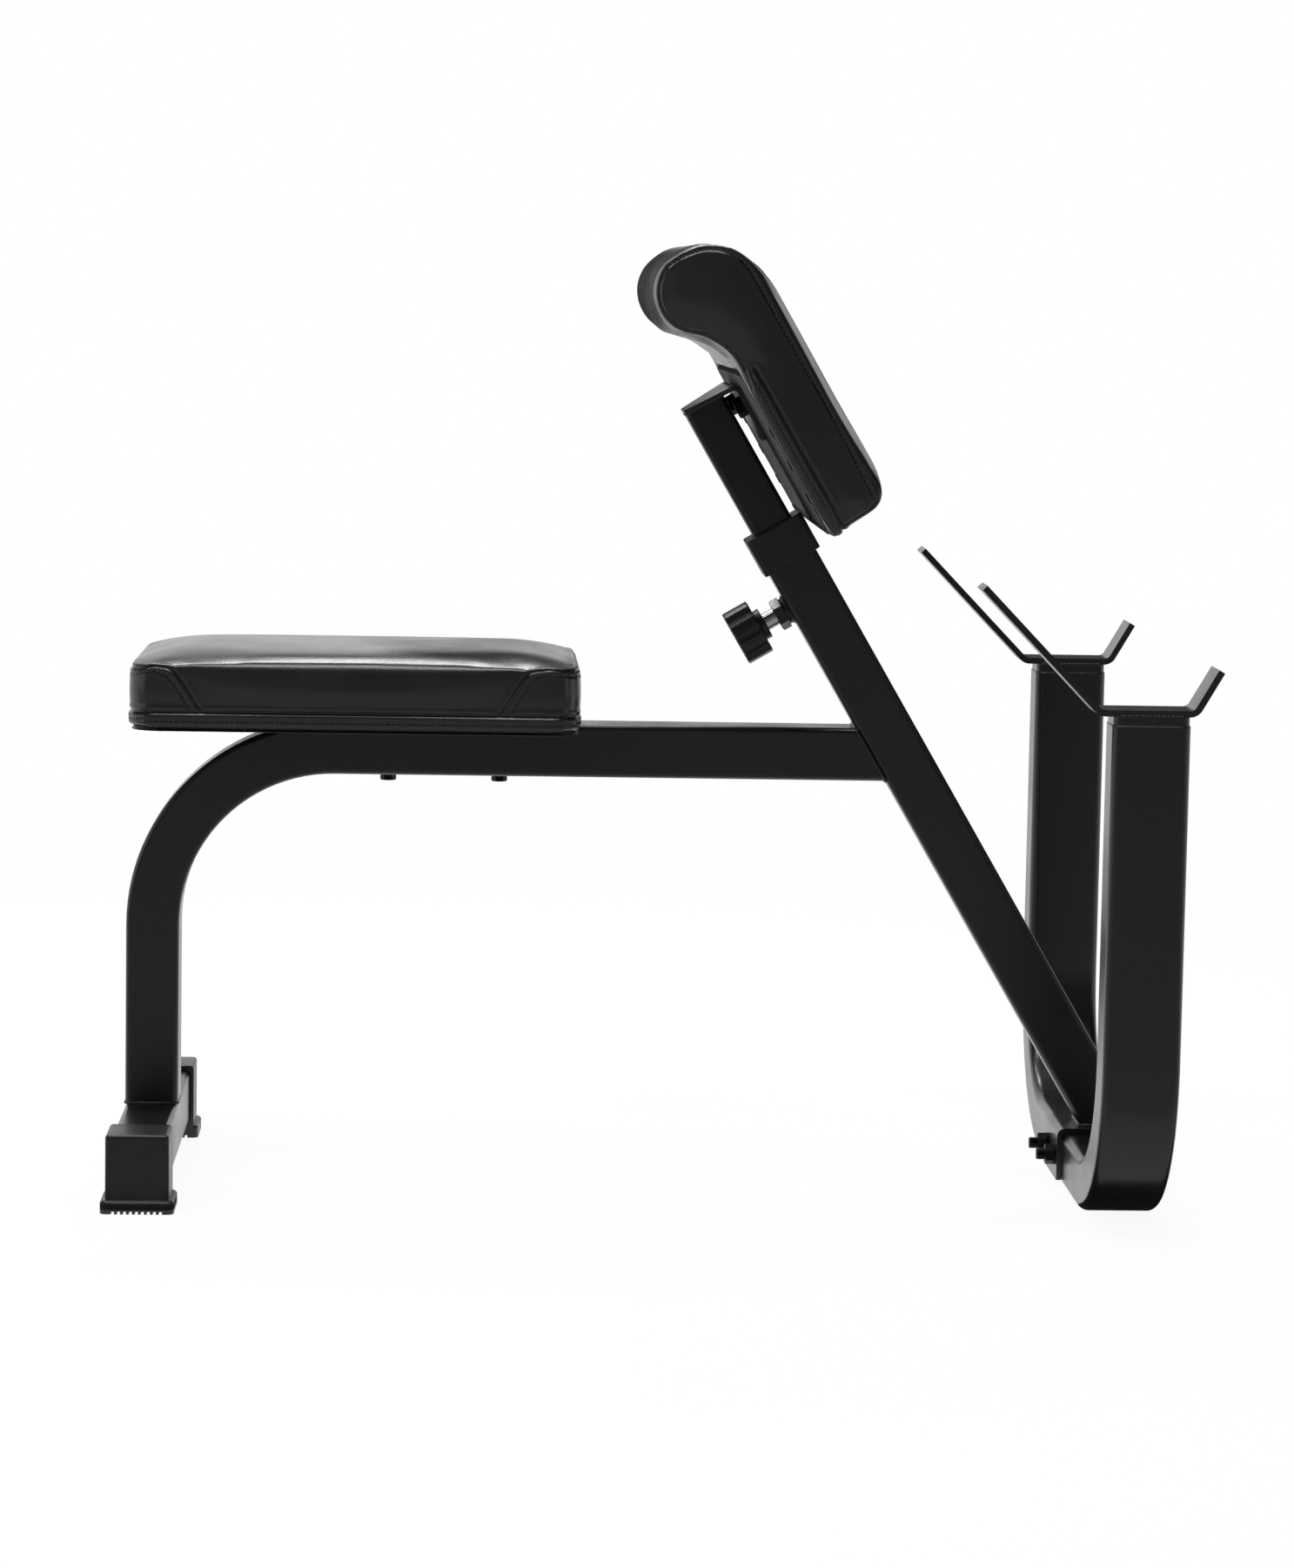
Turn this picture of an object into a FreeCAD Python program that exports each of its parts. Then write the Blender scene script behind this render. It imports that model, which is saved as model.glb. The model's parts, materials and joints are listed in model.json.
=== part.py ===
"""Preacher curl bench: a welded tube frame with a seat, a bar stand and a telescopic arm pad.

Millimetres, +Z up. X runs along the bench, from the seat to the bar catches, and Y across it,
with +Y on the left of the person who sits there. The origin is on the floor, under the middle
of the bench.
"""
import FreeCAD
import Part
import math
import os

Vector = FreeCAD.Vector
UP = Vector(0, 0, 1)
ALONG = Vector(1, 0, 0)
ACROSS = Vector(0, 1, 0)

# Square tube of the rail, rear leg, rear foot and post
TUBE = 50.0
TUBE_WALL = 2.0
TUBE_ROUND = 5.0

# Rail and rear leg, one bent tube
RAIL_TOP = 433.0
LEG_BEND = 170.0

# Rear foot and its moulded caps
FOOT_SPAN = 430.0
FOOT_LIFT = 17.0
CAP_SIDE_WALL = 4.0
CAP_TOP_WALL = 5.0
CAP_END_WALL = 5.0
CAP_SLEEVE = 50.0
CAP_ROUND = 3.5
CAP_FIT = 0.2
CAP_BASE_HEIGHT = 12.0
CAP_BASE_LEDGE = 4.5
CAP_BASE_BEVEL = 2.0
CAP_BASE_ROUND = 6.0
GROOVE_COUNT = 9
GROOVE_PITCH = 5.4
GROOVE_WIDTH = 2.8
GROOVE_DEPTH = 2.5

# Bar stand, a rectangular tube bent to a U
STAND_REACH = 900.0
STAND_SPAN = 600.0
STAND_WIDTH = 70.0
STAND_DEPTH = 50.0
STAND_WALL = 2.5
STAND_ROUND = 8.0
STAND_BEND = 135.0
STAND_HEIGHT = 464.5
END_PLATE_THICK = 9.0
END_PLATE_INSET = 1.0

# Bar catches, one bent strip on each upright
CATCH_THICK = 6.0
CATCH_WIDTH = 45.0
CATCH_REAR = 46.0
CATCH_FRONT = 39.0
CATCH_ARM = 152.0
CATCH_ARM_ANGLE = 46.0
CATCH_LIP = 44.0
CATCH_LIP_ANGLE = 60.0
CATCH_BEND = 10.0
CATCH_CORNER = 1.5

# Post and the bent bracket that bolts it to the stand
POST_LEAN = 30.5
POST_OFFSET = 12.5
POST_LENGTH = 654.0
BRACKET_THICK = 5.0
BRACKET_WIDTH = 80.0
BRACKET_DROP = 45.0
BRACKET_BEND = 8.0
BRACKET_MARGIN = 1.5
STAND_BOLT_SPACING = 56.0
STAND_BOLT_HEIGHT = 28.0

# Collar on the post's mouth
COLLAR_WIDTH = 59.0
COLLAR_HEIGHT = 38.0
COLLAR_LIP = 4.0
COLLAR_SLEEVE = 30.0
COLLAR_ROUND = 5.0
COLLAR_EDGE = 1.2
COLLAR_FIT = 0.1

# Inner post that carries the arm pad
INNER = 40.0
INNER_WALL = 2.0
INNER_ROUND = 4.0
INNER_LENGTH = 373.0
INNER_GAP = 0.4
EXTENSION = 132.0
LOCK_DEPTH = 73.0
LOCK_PITCH = 40.0
LOCK_STEPS_UP = 2
LOCK_STEPS_DOWN = 3
GUIDE_GAP = 0.4
GUIDE_HEIGHT = 8.0
GUIDE_STEM = 18.0
GUIDE_FIT = 0.1

# Lock pin with its housing and knob, drawn out and clear of the inner post
PIN_DIAMETER = 10.0
PIN_HOLE_GAP = 0.5
PIN_TIP_CLEAR = 1.0
PIN_TAPER = 1.5
SHANK_DIAMETER = 17.0
SHANK_FIT = 0.1
SHANK_SHOWN = 11.5
SHANK_SEATED = 4.0
SPIGOT_DIAMETER = 10.0
SPIGOT_LENGTH = 20.0
SPIGOT_FIT = 0.05
HOUSING_BOSS_DIAMETER = 26.0
HOUSING_BOSS = 4.5
HOUSING_FLATS = 27.0
HOUSING_NUT = 9.0
KNOB_DIAMETER = 54.0
KNOB_HEIGHT = 26.0
KNOB_ROUND = 3.0
KNOB_LOBES = 8
KNOB_FLUTE_DIAMETER = 15.0
KNOB_FLUTE_DEPTH = 4.0
KNOB_NECK_DIAMETER = 30.0
KNOB_NECK = 6.0
KNOB_GAP = 0.3

# Seat
SEAT_REAR = 18.5
SEAT_LENGTH = 419.0
SEAT_WIDTH = 272.0
SEAT_THICK = 68.0
SEAT_CROWN = 4.0
SEAT_CORNER = 28.0
SEAT_BAND = 17.0
BOARD_THICK = 12.0
BOARD_INSET = 9.0
BOARD_ROUND = 16.0
SEAT_BOLT_FIRST = 220.0
SEAT_BOLT_SPACING = 105.0

# Arm pad and the bent plate that carries it
PLATE_THICK = 4.5
PLATE_BEND = 8.0
PLATE_WIDTH = 160.0
PLATE_REAR_WIDTH = 60.0
FLANGE_LENGTH = 60.0
FLANGE_FOOT_WIDTH = 110.0
PAD_BACK = 35.0
PAD_WIDTH = 440.0
PAD_LENGTH = 292.0
PAD_THICK = 65.0
PAD_RISE = 135.5
PAD_ROLL_RADIUS = 41.0
PAD_ROLL_OVERHANG = 38.0
PAD_NECK_RADIUS = 60.0
PAD_FRONT_RADIUS = 53.0
PAD_FRONT_CORNER = 17.0
PAD_BACK_CORNER = 6.0
PAD_CROWN = 2.0
PAD_END_DRAW = 4.0
PAD_END_ROUND = 18.0
PAD_BAND = 14.0
PAD_BAND_DROP = 2.5
PAD_BAND_ROUND = 3.0
PAD_BAND_GAP = 2.0
PAD_BAND_TUCK = 0.5
PAD_BACK_TUCK = 1.0
PAD_BOARD_INSET = 12.0
PAD_BOARD_GAP = 5.0
PAD_BOLT_SPACING = 110.0
PAD_BOLT_DROP = 22.0

# Fasteners: nominal size, head or nut across flats, head and nut heights, washer
M8 = {"shank": 8.0, "flats": 13.0, "head": 5.3, "nut": 6.5, "washer": 16.0, "washer_thick": 1.6}
M10 = {"shank": 10.0, "flats": 17.0, "head": 6.4, "nut": 8.0, "washer": 20.0, "washer_thick": 2.0}
HOLE_GAP = 0.5
THREAD_GAP = 0.1
BOLT_TIP = 8.0
TEE_FLANGE_DIAMETER = 22.0
TEE_FLANGE_THICK = 1.6
TEE_WALL = 1.4
TEE_LENGTH = 10.0

# Places that follow from the sizes above
LIP_TURN = math.radians(CATCH_LIP_ANGLE)
CATCH_REACH = CATCH_FRONT + CATCH_LIP * math.cos(LIP_TURN) + CATCH_THICK / 2 * math.sin(LIP_TURN)
CAP_WIDTH = TUBE + 2 * CAP_SIDE_WALL
BASE_WIDTH = CAP_WIDTH + 2 * CAP_BASE_LEDGE
LENGTH = BASE_WIDTH / 2 + STAND_REACH + CATCH_REACH
LEG_X = BASE_WIDTH / 2 - LENGTH / 2
STAND_X = LEG_X + STAND_REACH
FOOT_TOP = FOOT_LIFT + TUBE
RAIL_BOTTOM = RAIL_TOP - TUBE
BRACKET_TOP = STAND_DEPTH + BRACKET_THICK
POST_FOOT = Vector(STAND_X + POST_OFFSET, 0, BRACKET_TOP)
COLLAR_TOP = POST_LENGTH + COLLAR_LIP
INNER_TOP = COLLAR_TOP + EXTENSION
PLATE_TOP = INNER_TOP + PLATE_THICK
LOCK_HEIGHT = POST_LENGTH - LOCK_DEPTH
PAD_LOW = PLATE_TOP + PAD_RISE - PAD_LENGTH
PAD_BOLT_HEIGHT = PLATE_TOP - PAD_BOLT_DROP
CATCH_MID = STAND_HEIGHT + END_PLATE_THICK + CATCH_THICK / 2


# Plain shapes

def rounded_rectangle(length, width, radius, height=0.0):
    """Closed wire of a rectangle with round corners, centred on the Z axis at a height."""
    x, y, r = length / 2, width / 2, radius
    k = r * (1 - math.sqrt(0.5))
    corners = [(1, 1), (-1, 1), (-1, -1), (1, -1)]
    edges = []
    for i, (sx, sy) in enumerate(corners):
        on_x = Vector(sx * (x - r), sy * y, height)
        on_y = Vector(sx * x, sy * (y - r), height)
        first, last = (on_y, on_x) if sx == sy else (on_x, on_y)
        edges.append(Part.Arc(first, Vector(sx * (x - k), sy * (y - k), height), last).toShape())
        nx, ny = corners[(i + 1) % 4]
        if sx == sy:
            following = Vector(nx * (x - r), ny * y, height)
        else:
            following = Vector(nx * x, ny * (y - r), height)
        edges.append(Part.LineSegment(last, following).toShape())
    return Part.Wire(edges)


def bar(length, width, radius, height):
    """Solid bar of rounded rectangular section along +Z from the origin."""
    return Part.Face(rounded_rectangle(length, width, radius)).extrude(Vector(0, 0, height))


def tube_section(length, width, wall, radius):
    """Ring face of a rectangular tube, in the XY plane."""
    outer = Part.Face(rounded_rectangle(length, width, radius))
    inner = Part.Face(rounded_rectangle(length - 2 * wall, width - 2 * wall, max(radius - wall, wall / 4)))
    return outer.cut(inner).Faces[0]


def block(x0, x1, y0, y1, z0, z1):
    """Box between two corners."""
    return Part.makeBox(x1 - x0, y1 - y0, z1 - z0, Vector(x0, y0, z0))


def rod(diameter, start, direction, length):
    """Round bar from a start point along a direction."""
    return Part.makeCylinder(diameter / 2, length, start, direction)


def hexagon(flats, height):
    """Hexagonal prism along +Z with the round chamfer of a nut or bolt head on its top."""
    reach = flats / math.sqrt(3)
    points = [Vector(reach * math.cos(math.radians(60 * i)), reach * math.sin(math.radians(60 * i)), 0)
              for i in range(7)]
    prism = Part.Face(Part.makePolygon(points)).extrude(Vector(0, 0, height))
    slope = height + (reach - flats / 2) * math.tan(math.radians(30))
    cone_height = slope + flats
    cone = Part.makeCone(flats / 2 + cone_height / math.tan(math.radians(30)), flats / 2, cone_height,
                         Vector(0, 0, height - cone_height), UP)
    return prism.common(cone)


def moved(shape, placement):
    """Copy of a shape with a placement applied after its own."""
    copy = shape.copy()
    copy.Placement = placement.multiply(shape.Placement)
    return copy


def placed(shape, base, direction):
    """Copy of a shape made along +Z, set at a base point along a direction."""
    return moved(shape, FreeCAD.Placement(base, FreeCAD.Rotation(UP, direction)))


def on_post(shape):
    """Copy of a shape made in the post's frame: X forward of the post, Z up its axis."""
    return moved(shape, FreeCAD.Placement(POST_FOOT, FreeCAD.Rotation(ACROSS, -POST_LEAN)))


def mirrored(shape):
    """Mirror image of a shape on the other side of the bench."""
    return shape.mirror(Vector(0, 0, 0), ACROSS)


# Fasteners, each made along +Z from the face that it bears on

def bolt(size, length):
    """Hex bolt with its head below the origin and its shank above it."""
    head = placed(hexagon(size["flats"], size["head"]), Vector(0, 0, 0), Vector(0, 0, -1))
    return head.fuse(rod(size["shank"], Vector(0, 0, 0), UP, length)).removeSplitter()


def washer(size):
    """Flat washer standing on the origin."""
    ring = rod(size["washer"], Vector(0, 0, 0), UP, size["washer_thick"])
    return ring.cut(rod(size["shank"] + 2 * HOLE_GAP, Vector(0, 0, 0), UP, size["washer_thick"]))


def nut(size):
    """Hex nut standing on the origin."""
    return hexagon(size["flats"], size["nut"]).cut(
        rod(size["shank"] + 2 * THREAD_GAP, Vector(0, 0, 0), UP, size["nut"]))


def tee_nut(size):
    """Tee nut with its flange's outer face at the origin and its barrel below."""
    bore = size["shank"] + 2 * THREAD_GAP
    body = rod(TEE_FLANGE_DIAMETER, Vector(0, 0, -TEE_FLANGE_THICK), UP, TEE_FLANGE_THICK)
    body = body.fuse(rod(bore + 2 * TEE_WALL, Vector(0, 0, -TEE_LENGTH), UP, TEE_LENGTH))
    return body.cut(rod(bore, Vector(0, 0, -TEE_LENGTH), UP, TEE_LENGTH)).removeSplitter()


def tee_nut_seat(size, thickness):
    """Stepped hole for a tee nut through a board whose front face is at the origin."""
    barrel = size["shank"] + 2 * (THREAD_GAP + TEE_WALL + HOLE_GAP)
    hole = rod(TEE_FLANGE_DIAMETER + 2 * HOLE_GAP, Vector(0, 0, -TEE_FLANGE_THICK), UP, TEE_FLANGE_THICK)
    return hole.fuse(rod(barrel, Vector(0, 0, -thickness), UP, thickness))


# Rail, rear leg and rear foot

def seat_bolt_places():
    """X of the two bolts that hold the seat on the rail."""
    first = LEG_X + SEAT_BOLT_FIRST
    return [first, first + SEAT_BOLT_SPACING]


def behind_post():
    """Everything in front of the post's rear face, to trim the rail's end."""
    reach = STAND_REACH
    return on_post(block(-TUBE / 2, reach, -TUBE, TUBE, -reach, reach))


def main_rail():
    """Rear leg, its bend and the rail, cut to the slope of the post that it is welded to."""
    section = tube_section(TUBE, TUBE, TUBE_WALL, TUBE_ROUND)
    bend_height = RAIL_TOP - TUBE / 2 - LEG_BEND
    leg = section.extrude(Vector(0, 0, bend_height - FOOT_TOP))
    leg.translate(Vector(LEG_X, 0, FOOT_TOP))
    start = section.copy()
    start.translate(Vector(LEG_X, 0, bend_height))
    bend = start.revolve(Vector(LEG_X + LEG_BEND, 0, bend_height), ACROSS, 90)
    end = start.copy()
    end.rotate(Vector(LEG_X + LEG_BEND, 0, bend_height), ACROSS, 90)
    rail = end.extrude(Vector(STAND_REACH - LEG_BEND, 0, 0))
    body = leg.fuse([bend, rail]).removeSplitter().cut(behind_post())
    for x in seat_bolt_places():
        body = body.cut(rod(M8["shank"] + 2 * HOLE_GAP, Vector(x, 0, RAIL_BOTTOM), UP, TUBE))
    return body


def foot_tube_length():
    """Length of the rear foot's tube between the end walls of its caps."""
    return FOOT_SPAN - 2 * (CAP_END_WALL + CAP_BASE_LEDGE)


def rear_foot_tube():
    """Square tube across the bench under the rear leg."""
    length = foot_tube_length()
    body = tube_section(TUBE, TUBE, TUBE_WALL, TUBE_ROUND).extrude(Vector(0, 0, length))
    return placed(body, Vector(LEG_X, -length / 2, FOOT_LIFT + TUBE / 2), ACROSS)


def rear_foot_cap():
    """Moulded cap on the rear foot's -Y end: a sleeve on a wider base with a grooved sole."""
    end = -FOOT_SPAN / 2
    face = end + CAP_BASE_LEDGE
    mouth = face + CAP_END_WALL + CAP_SLEEVE
    top = FOOT_TOP + CAP_TOP_WALL
    body = block(-CAP_WIDTH / 2, CAP_WIDTH / 2, face, mouth, 0, top)
    rim = [e for e in body.Edges if e.BoundBox.ZMin > top - 1 and e.BoundBox.YMin < mouth - 1
           or e.BoundBox.ZLength > 1 and e.BoundBox.YMax < face + 1]
    body = body.makeFillet(CAP_ROUND, rim)
    base = bar(BASE_WIDTH, mouth - end, CAP_BASE_ROUND, CAP_BASE_HEIGHT)
    base.translate(Vector(0, (mouth + end) / 2, 0))
    shoulder = [e for e in base.Edges if e.BoundBox.ZMin > CAP_BASE_HEIGHT - 0.1]
    base = base.makeChamfer(CAP_BASE_BEVEL, shoulder)
    body = body.fuse(base).removeSplitter()
    hollow = TUBE + 2 * CAP_FIT
    pocket = bar(hollow, hollow, TUBE_ROUND, CAP_SLEEVE)
    body = body.cut(placed(pocket, Vector(0, face + CAP_END_WALL, FOOT_LIFT + TUBE / 2), ACROSS))
    for i in range(GROOVE_COUNT):
        x = (i - (GROOVE_COUNT - 1) / 2) * GROOVE_PITCH
        body = body.cut(block(x - GROOVE_WIDTH / 2, x + GROOVE_WIDTH / 2, end, mouth, 0, GROOVE_DEPTH))
    body.translate(Vector(LEG_X, 0, 0))
    return body


# Bar stand

def stand_path_solid(section):
    """Sweep of a section along the U: down an upright, along the floor and up the other."""
    mid = STAND_SPAN / 2 - STAND_DEPTH / 2
    turn = STAND_DEPTH / 2 + STAND_BEND
    upright = section.extrude(Vector(0, 0, STAND_HEIGHT - turn))
    upright.translate(Vector(STAND_X, -mid, turn))
    start = section.copy()
    start.translate(Vector(STAND_X, -mid, turn))
    centre = Vector(STAND_X, STAND_BEND - mid, turn)
    bend = start.revolve(centre, ALONG, 90)
    end = start.copy()
    end.rotate(centre, ALONG, 90)
    floor = end.extrude(Vector(0, 2 * (mid - STAND_BEND), 0))
    return upright.fuse([bend, floor, mirrored(bend), mirrored(upright)]).removeSplitter()


def bar_stand_tube():
    """U of rectangular tube, drilled for the two bolts of the post's bracket."""
    body = stand_path_solid(tube_section(STAND_WIDTH, STAND_DEPTH, STAND_WALL, STAND_ROUND))
    for start in stand_bolt_places(STAND_X - STAND_WIDTH):
        body = body.cut(rod(M10["shank"] + 2 * HOLE_GAP, start, ALONG, 2 * STAND_WIDTH))
    return body


def stand_end_plate():
    """Steel plate that closes the top of the -Y upright."""
    inset = 2 * END_PLATE_INSET
    plate = bar(STAND_WIDTH - inset, STAND_DEPTH - inset, STAND_ROUND - END_PLATE_INSET, END_PLATE_THICK)
    plate.translate(Vector(STAND_X, STAND_DEPTH / 2 - STAND_SPAN / 2, STAND_HEIGHT))
    return plate


def bent_strip(points, radius, thickness, width):
    """Strip of a width along Y whose middle line in XZ joins points, with round bends."""
    line = [Vector(x, 0, z) for x, z in points]
    runs = [(b - a).normalize() for a, b in zip(line, line[1:])]

    def offset(side):
        """Points of one face's outline, as (point, bend radius)."""
        shifted = [(line[0] + normal(runs[0]) * side, 0)]
        for corner, before, after in zip(line[1:-1], runs, runs[1:]):
            half = (normal(before) + normal(after)).normalize()
            shift = side / half.dot(normal(before))
            turn = before.x * after.z - before.z * after.x
            shifted.append((corner + half * shift, radius - side if turn > 0 else radius + side))
        return shifted + [(line[-1] + normal(runs[-1]) * side, 0)]

    outline = offset(thickness / 2) + offset(-thickness / 2)[::-1]
    face = Part.Face(rounded_outline(outline))
    face.translate(Vector(0, -width / 2, 0))
    return face.extrude(Vector(0, width, 0))


def normal(run):
    """Left-hand normal of a direction in the XZ plane."""
    return Vector(-run.z, 0, run.x)


def rounded_outline(corners):
    """Closed wire through corners given as (point, radius), with an arc at each round one."""
    count = len(corners)
    ends = []
    arcs = []
    for i, (point, radius) in enumerate(corners):
        if radius <= 0:
            ends.append((point, point))
            arcs.append(None)
            continue
        back = (corners[i - 1][0] - point).normalize()
        ahead = (corners[(i + 1) % count][0] - point).normalize()
        half_angle = math.acos(back.dot(ahead)) / 2
        reach = radius / math.tan(half_angle)
        first, last = point + back * reach, point + ahead * reach
        bisector = (back + ahead).normalize()
        middle = point + bisector * (radius / math.sin(half_angle) - radius)
        ends.append((first, last))
        arcs.append(Part.Arc(first, middle, last).toShape())
    edges = []
    for i in range(count):
        if arcs[i]:
            edges.append(arcs[i])
        following = ends[(i + 1) % count][0]
        if ends[i][1].distanceToPoint(following) > 1e-6:
            edges.append(Part.LineSegment(ends[i][1], following).toShape())
    return Part.Wire(edges)


def bar_catch():
    """Bent strip that cradles the bar on the -Y upright, with a long arm towards the bench."""
    arm = math.radians(CATCH_ARM_ANGLE)
    points = [
        (-CATCH_REAR - CATCH_ARM * math.cos(arm), CATCH_ARM * math.sin(arm)),
        (-CATCH_REAR, 0),
        (CATCH_FRONT, 0),
        (CATCH_FRONT + CATCH_LIP * math.cos(LIP_TURN), CATCH_LIP * math.sin(LIP_TURN)),
    ]
    strip = bent_strip(points, CATCH_BEND, CATCH_THICK, CATCH_WIDTH)
    tips = [e for e in strip.Edges if abs(e.BoundBox.YLength) < 0.01 and abs(e.Length - CATCH_THICK) < 0.01]
    strip = strip.makeFillet(CATCH_CORNER, tips)
    strip.translate(Vector(STAND_X, STAND_DEPTH / 2 - STAND_SPAN / 2, CATCH_MID))
    return strip


# Post and bracket

def post_footprint():
    """Half the length of the post's sloping section where it stands on the bracket."""
    return TUBE / 2 / math.cos(math.radians(POST_LEAN))


def stand_bolt_places(x):
    """Axes of the two bracket bolts at an X."""
    return [Vector(x, side * STAND_BOLT_SPACING / 2, STAND_BOLT_HEIGHT) for side in (-1, 1)]


def post_foot_bracket():
    """Bent plate over the stand's floor tube: the post stands on it and two bolts hold it."""
    rear = STAND_X - STAND_WIDTH / 2 - BRACKET_THICK / 2
    front = POST_FOOT.x + post_footprint() + BRACKET_MARGIN
    middle = BRACKET_TOP - BRACKET_THICK / 2
    points = [(rear, BRACKET_TOP - BRACKET_THICK - BRACKET_DROP), (rear, middle), (front, middle)]
    plate = bent_strip(points, BRACKET_BEND - BRACKET_THICK / 2, BRACKET_THICK, BRACKET_WIDTH)
    for start in stand_bolt_places(rear - BRACKET_THICK):
        plate = plate.cut(rod(M10["shank"] + 2 * HOLE_GAP, start, ALONG, 2 * BRACKET_THICK))
    return plate


def stand_bolts():
    """Bolts through the stand's floor tube, with their heads on its front face."""
    grip = STAND_WIDTH + BRACKET_THICK + 2 * M10["washer_thick"] + M10["nut"] + BOLT_TIP
    x = STAND_X + STAND_WIDTH / 2 + M10["washer_thick"]
    return [placed(bolt(M10, grip), start, -ALONG) for start in stand_bolt_places(x)]


def stand_washers():
    """Washers under the bracket bolts' heads and nuts."""
    front = STAND_X + STAND_WIDTH / 2
    rear = STAND_X - STAND_WIDTH / 2 - BRACKET_THICK
    heads = [placed(washer(M10), start, ALONG) for start in stand_bolt_places(front)]
    return heads + [placed(washer(M10), start, -ALONG) for start in stand_bolt_places(rear)]


def stand_nuts():
    """Nuts of the bracket bolts, behind the bracket."""
    rear = STAND_X - STAND_WIDTH / 2 - BRACKET_THICK - M10["washer_thick"]
    return [placed(nut(M10), start, -ALONG) for start in stand_bolt_places(rear)]


def post_tube():
    """Leaning outer post, cut level where it stands on the bracket and drilled for the lock pin."""
    below = TUBE
    body = tube_section(TUBE, TUBE, TUBE_WALL, TUBE_ROUND).extrude(Vector(0, 0, POST_LENGTH + below))
    body.translate(Vector(0, 0, -below))
    body = body.cut(rod(PIN_DIAMETER + 2 * PIN_HOLE_GAP, Vector(0, 0, LOCK_HEIGHT), -ALONG, TUBE))
    body = on_post(body)
    reach = 2 * TUBE
    return body.cut(block(POST_FOOT.x - reach, POST_FOOT.x + reach, -TUBE, TUBE, BRACKET_TOP - reach, BRACKET_TOP))


def post_collar():
    """Moulded collar over the post's mouth, with a sleeve inside that guides the inner post."""
    bottom = COLLAR_TOP - COLLAR_HEIGHT
    body = bar(COLLAR_WIDTH, COLLAR_WIDTH, COLLAR_ROUND, COLLAR_HEIGHT)
    rim = [e for e in body.Edges if e.BoundBox.ZLength < 0.01]
    body = body.makeFillet(COLLAR_EDGE, rim)
    body.translate(Vector(0, 0, bottom))
    outside = TUBE + 2 * COLLAR_FIT
    ring = bar(outside, outside, TUBE_ROUND, POST_LENGTH - bottom)
    ring.translate(Vector(0, 0, bottom))
    body = body.cut(ring)
    inside = TUBE - 2 * TUBE_WALL - 2 * COLLAR_FIT
    sleeve = bar(inside, inside, TUBE_ROUND - TUBE_WALL, COLLAR_SLEEVE + COLLAR_LIP / 2)
    sleeve.translate(Vector(0, 0, POST_LENGTH - COLLAR_SLEEVE))
    bore = INNER + 2 * INNER_GAP
    passage = bar(bore, bore, INNER_ROUND, COLLAR_SLEEVE + 2 * COLLAR_LIP)
    passage.translate(Vector(0, 0, POST_LENGTH - COLLAR_SLEEVE))
    return on_post(body.fuse(sleeve).cut(passage).removeSplitter())


# Lock pin, made along the pin's axis: +Z points out from the post's rear face

def on_lock(shape):
    """Copy of a shape set on the lock's axis, with its origin on the post's rear face."""
    return on_post(placed(shape, Vector(-TUBE / 2, 0, LOCK_HEIGHT), -ALONG))


def lock_housing():
    """Boss and hexagon welded to the post, which the shank slides in."""
    length = HOUSING_BOSS + HOUSING_NUT
    body = hexagon(HOUSING_FLATS, HOUSING_NUT)
    body.translate(Vector(0, 0, HOUSING_BOSS))
    body = body.fuse(rod(HOUSING_BOSS_DIAMETER, Vector(0, 0, 0), UP, HOUSING_BOSS))
    bore = rod(SHANK_DIAMETER + 2 * SHANK_FIT, Vector(0, 0, 0), UP, length)
    return on_lock(body.cut(bore).removeSplitter())


def lock_pin():
    """Turned pin: a point, the pin, the thick shank and the spigot that carries the knob."""
    tip = PIN_TIP_CLEAR + INNER / 2 - TUBE / 2
    shank_start = HOUSING_BOSS + HOUSING_NUT - SHANK_SEATED
    shoulder = HOUSING_BOSS + HOUSING_NUT + SHANK_SHOWN
    pin, shank, spigot = PIN_DIAMETER / 2, SHANK_DIAMETER / 2, SPIGOT_DIAMETER / 2
    steps = [
        (0, tip), (pin - PIN_TAPER, tip), (pin, tip + PIN_TAPER), (pin, shank_start), (shank, shank_start),
        (shank, shoulder), (spigot, shoulder), (spigot, shoulder + SPIGOT_LENGTH), (0, shoulder + SPIGOT_LENGTH),
        (0, tip),
    ]
    profile = Part.Face(Part.makePolygon([Vector(r, 0, z) for r, z in steps]))
    return on_lock(profile.revolve(Vector(0, 0, 0), UP, 360))


def lock_knob():
    """Fluted knob with a round neck, bored for the pin's spigot."""
    neck = HOUSING_BOSS + HOUSING_NUT + SHANK_SHOWN + KNOB_GAP
    grip = neck + KNOB_NECK
    body = rod(KNOB_DIAMETER, Vector(0, 0, grip), UP, KNOB_HEIGHT)
    ring = KNOB_DIAMETER / 2 - KNOB_FLUTE_DEPTH + KNOB_FLUTE_DIAMETER / 2
    for i in range(KNOB_LOBES):
        turn = 2 * math.pi * i / KNOB_LOBES
        place = Vector(ring * math.cos(turn), ring * math.sin(turn), grip)
        body = body.cut(rod(KNOB_FLUTE_DIAMETER, place, UP, KNOB_HEIGHT))
    rims = [e for e in body.Edges if e.BoundBox.ZLength < 0.01]
    body = body.makeFillet(KNOB_ROUND / 2, rims)
    body = body.fuse(rod(KNOB_NECK_DIAMETER, Vector(0, 0, neck), UP, KNOB_NECK + KNOB_ROUND))
    bore = SPIGOT_DIAMETER + 2 * SPIGOT_FIT
    return on_lock(body.cut(rod(bore, Vector(0, 0, neck), UP, SPIGOT_LENGTH)).removeSplitter())


# Inner post and arm pad

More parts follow.
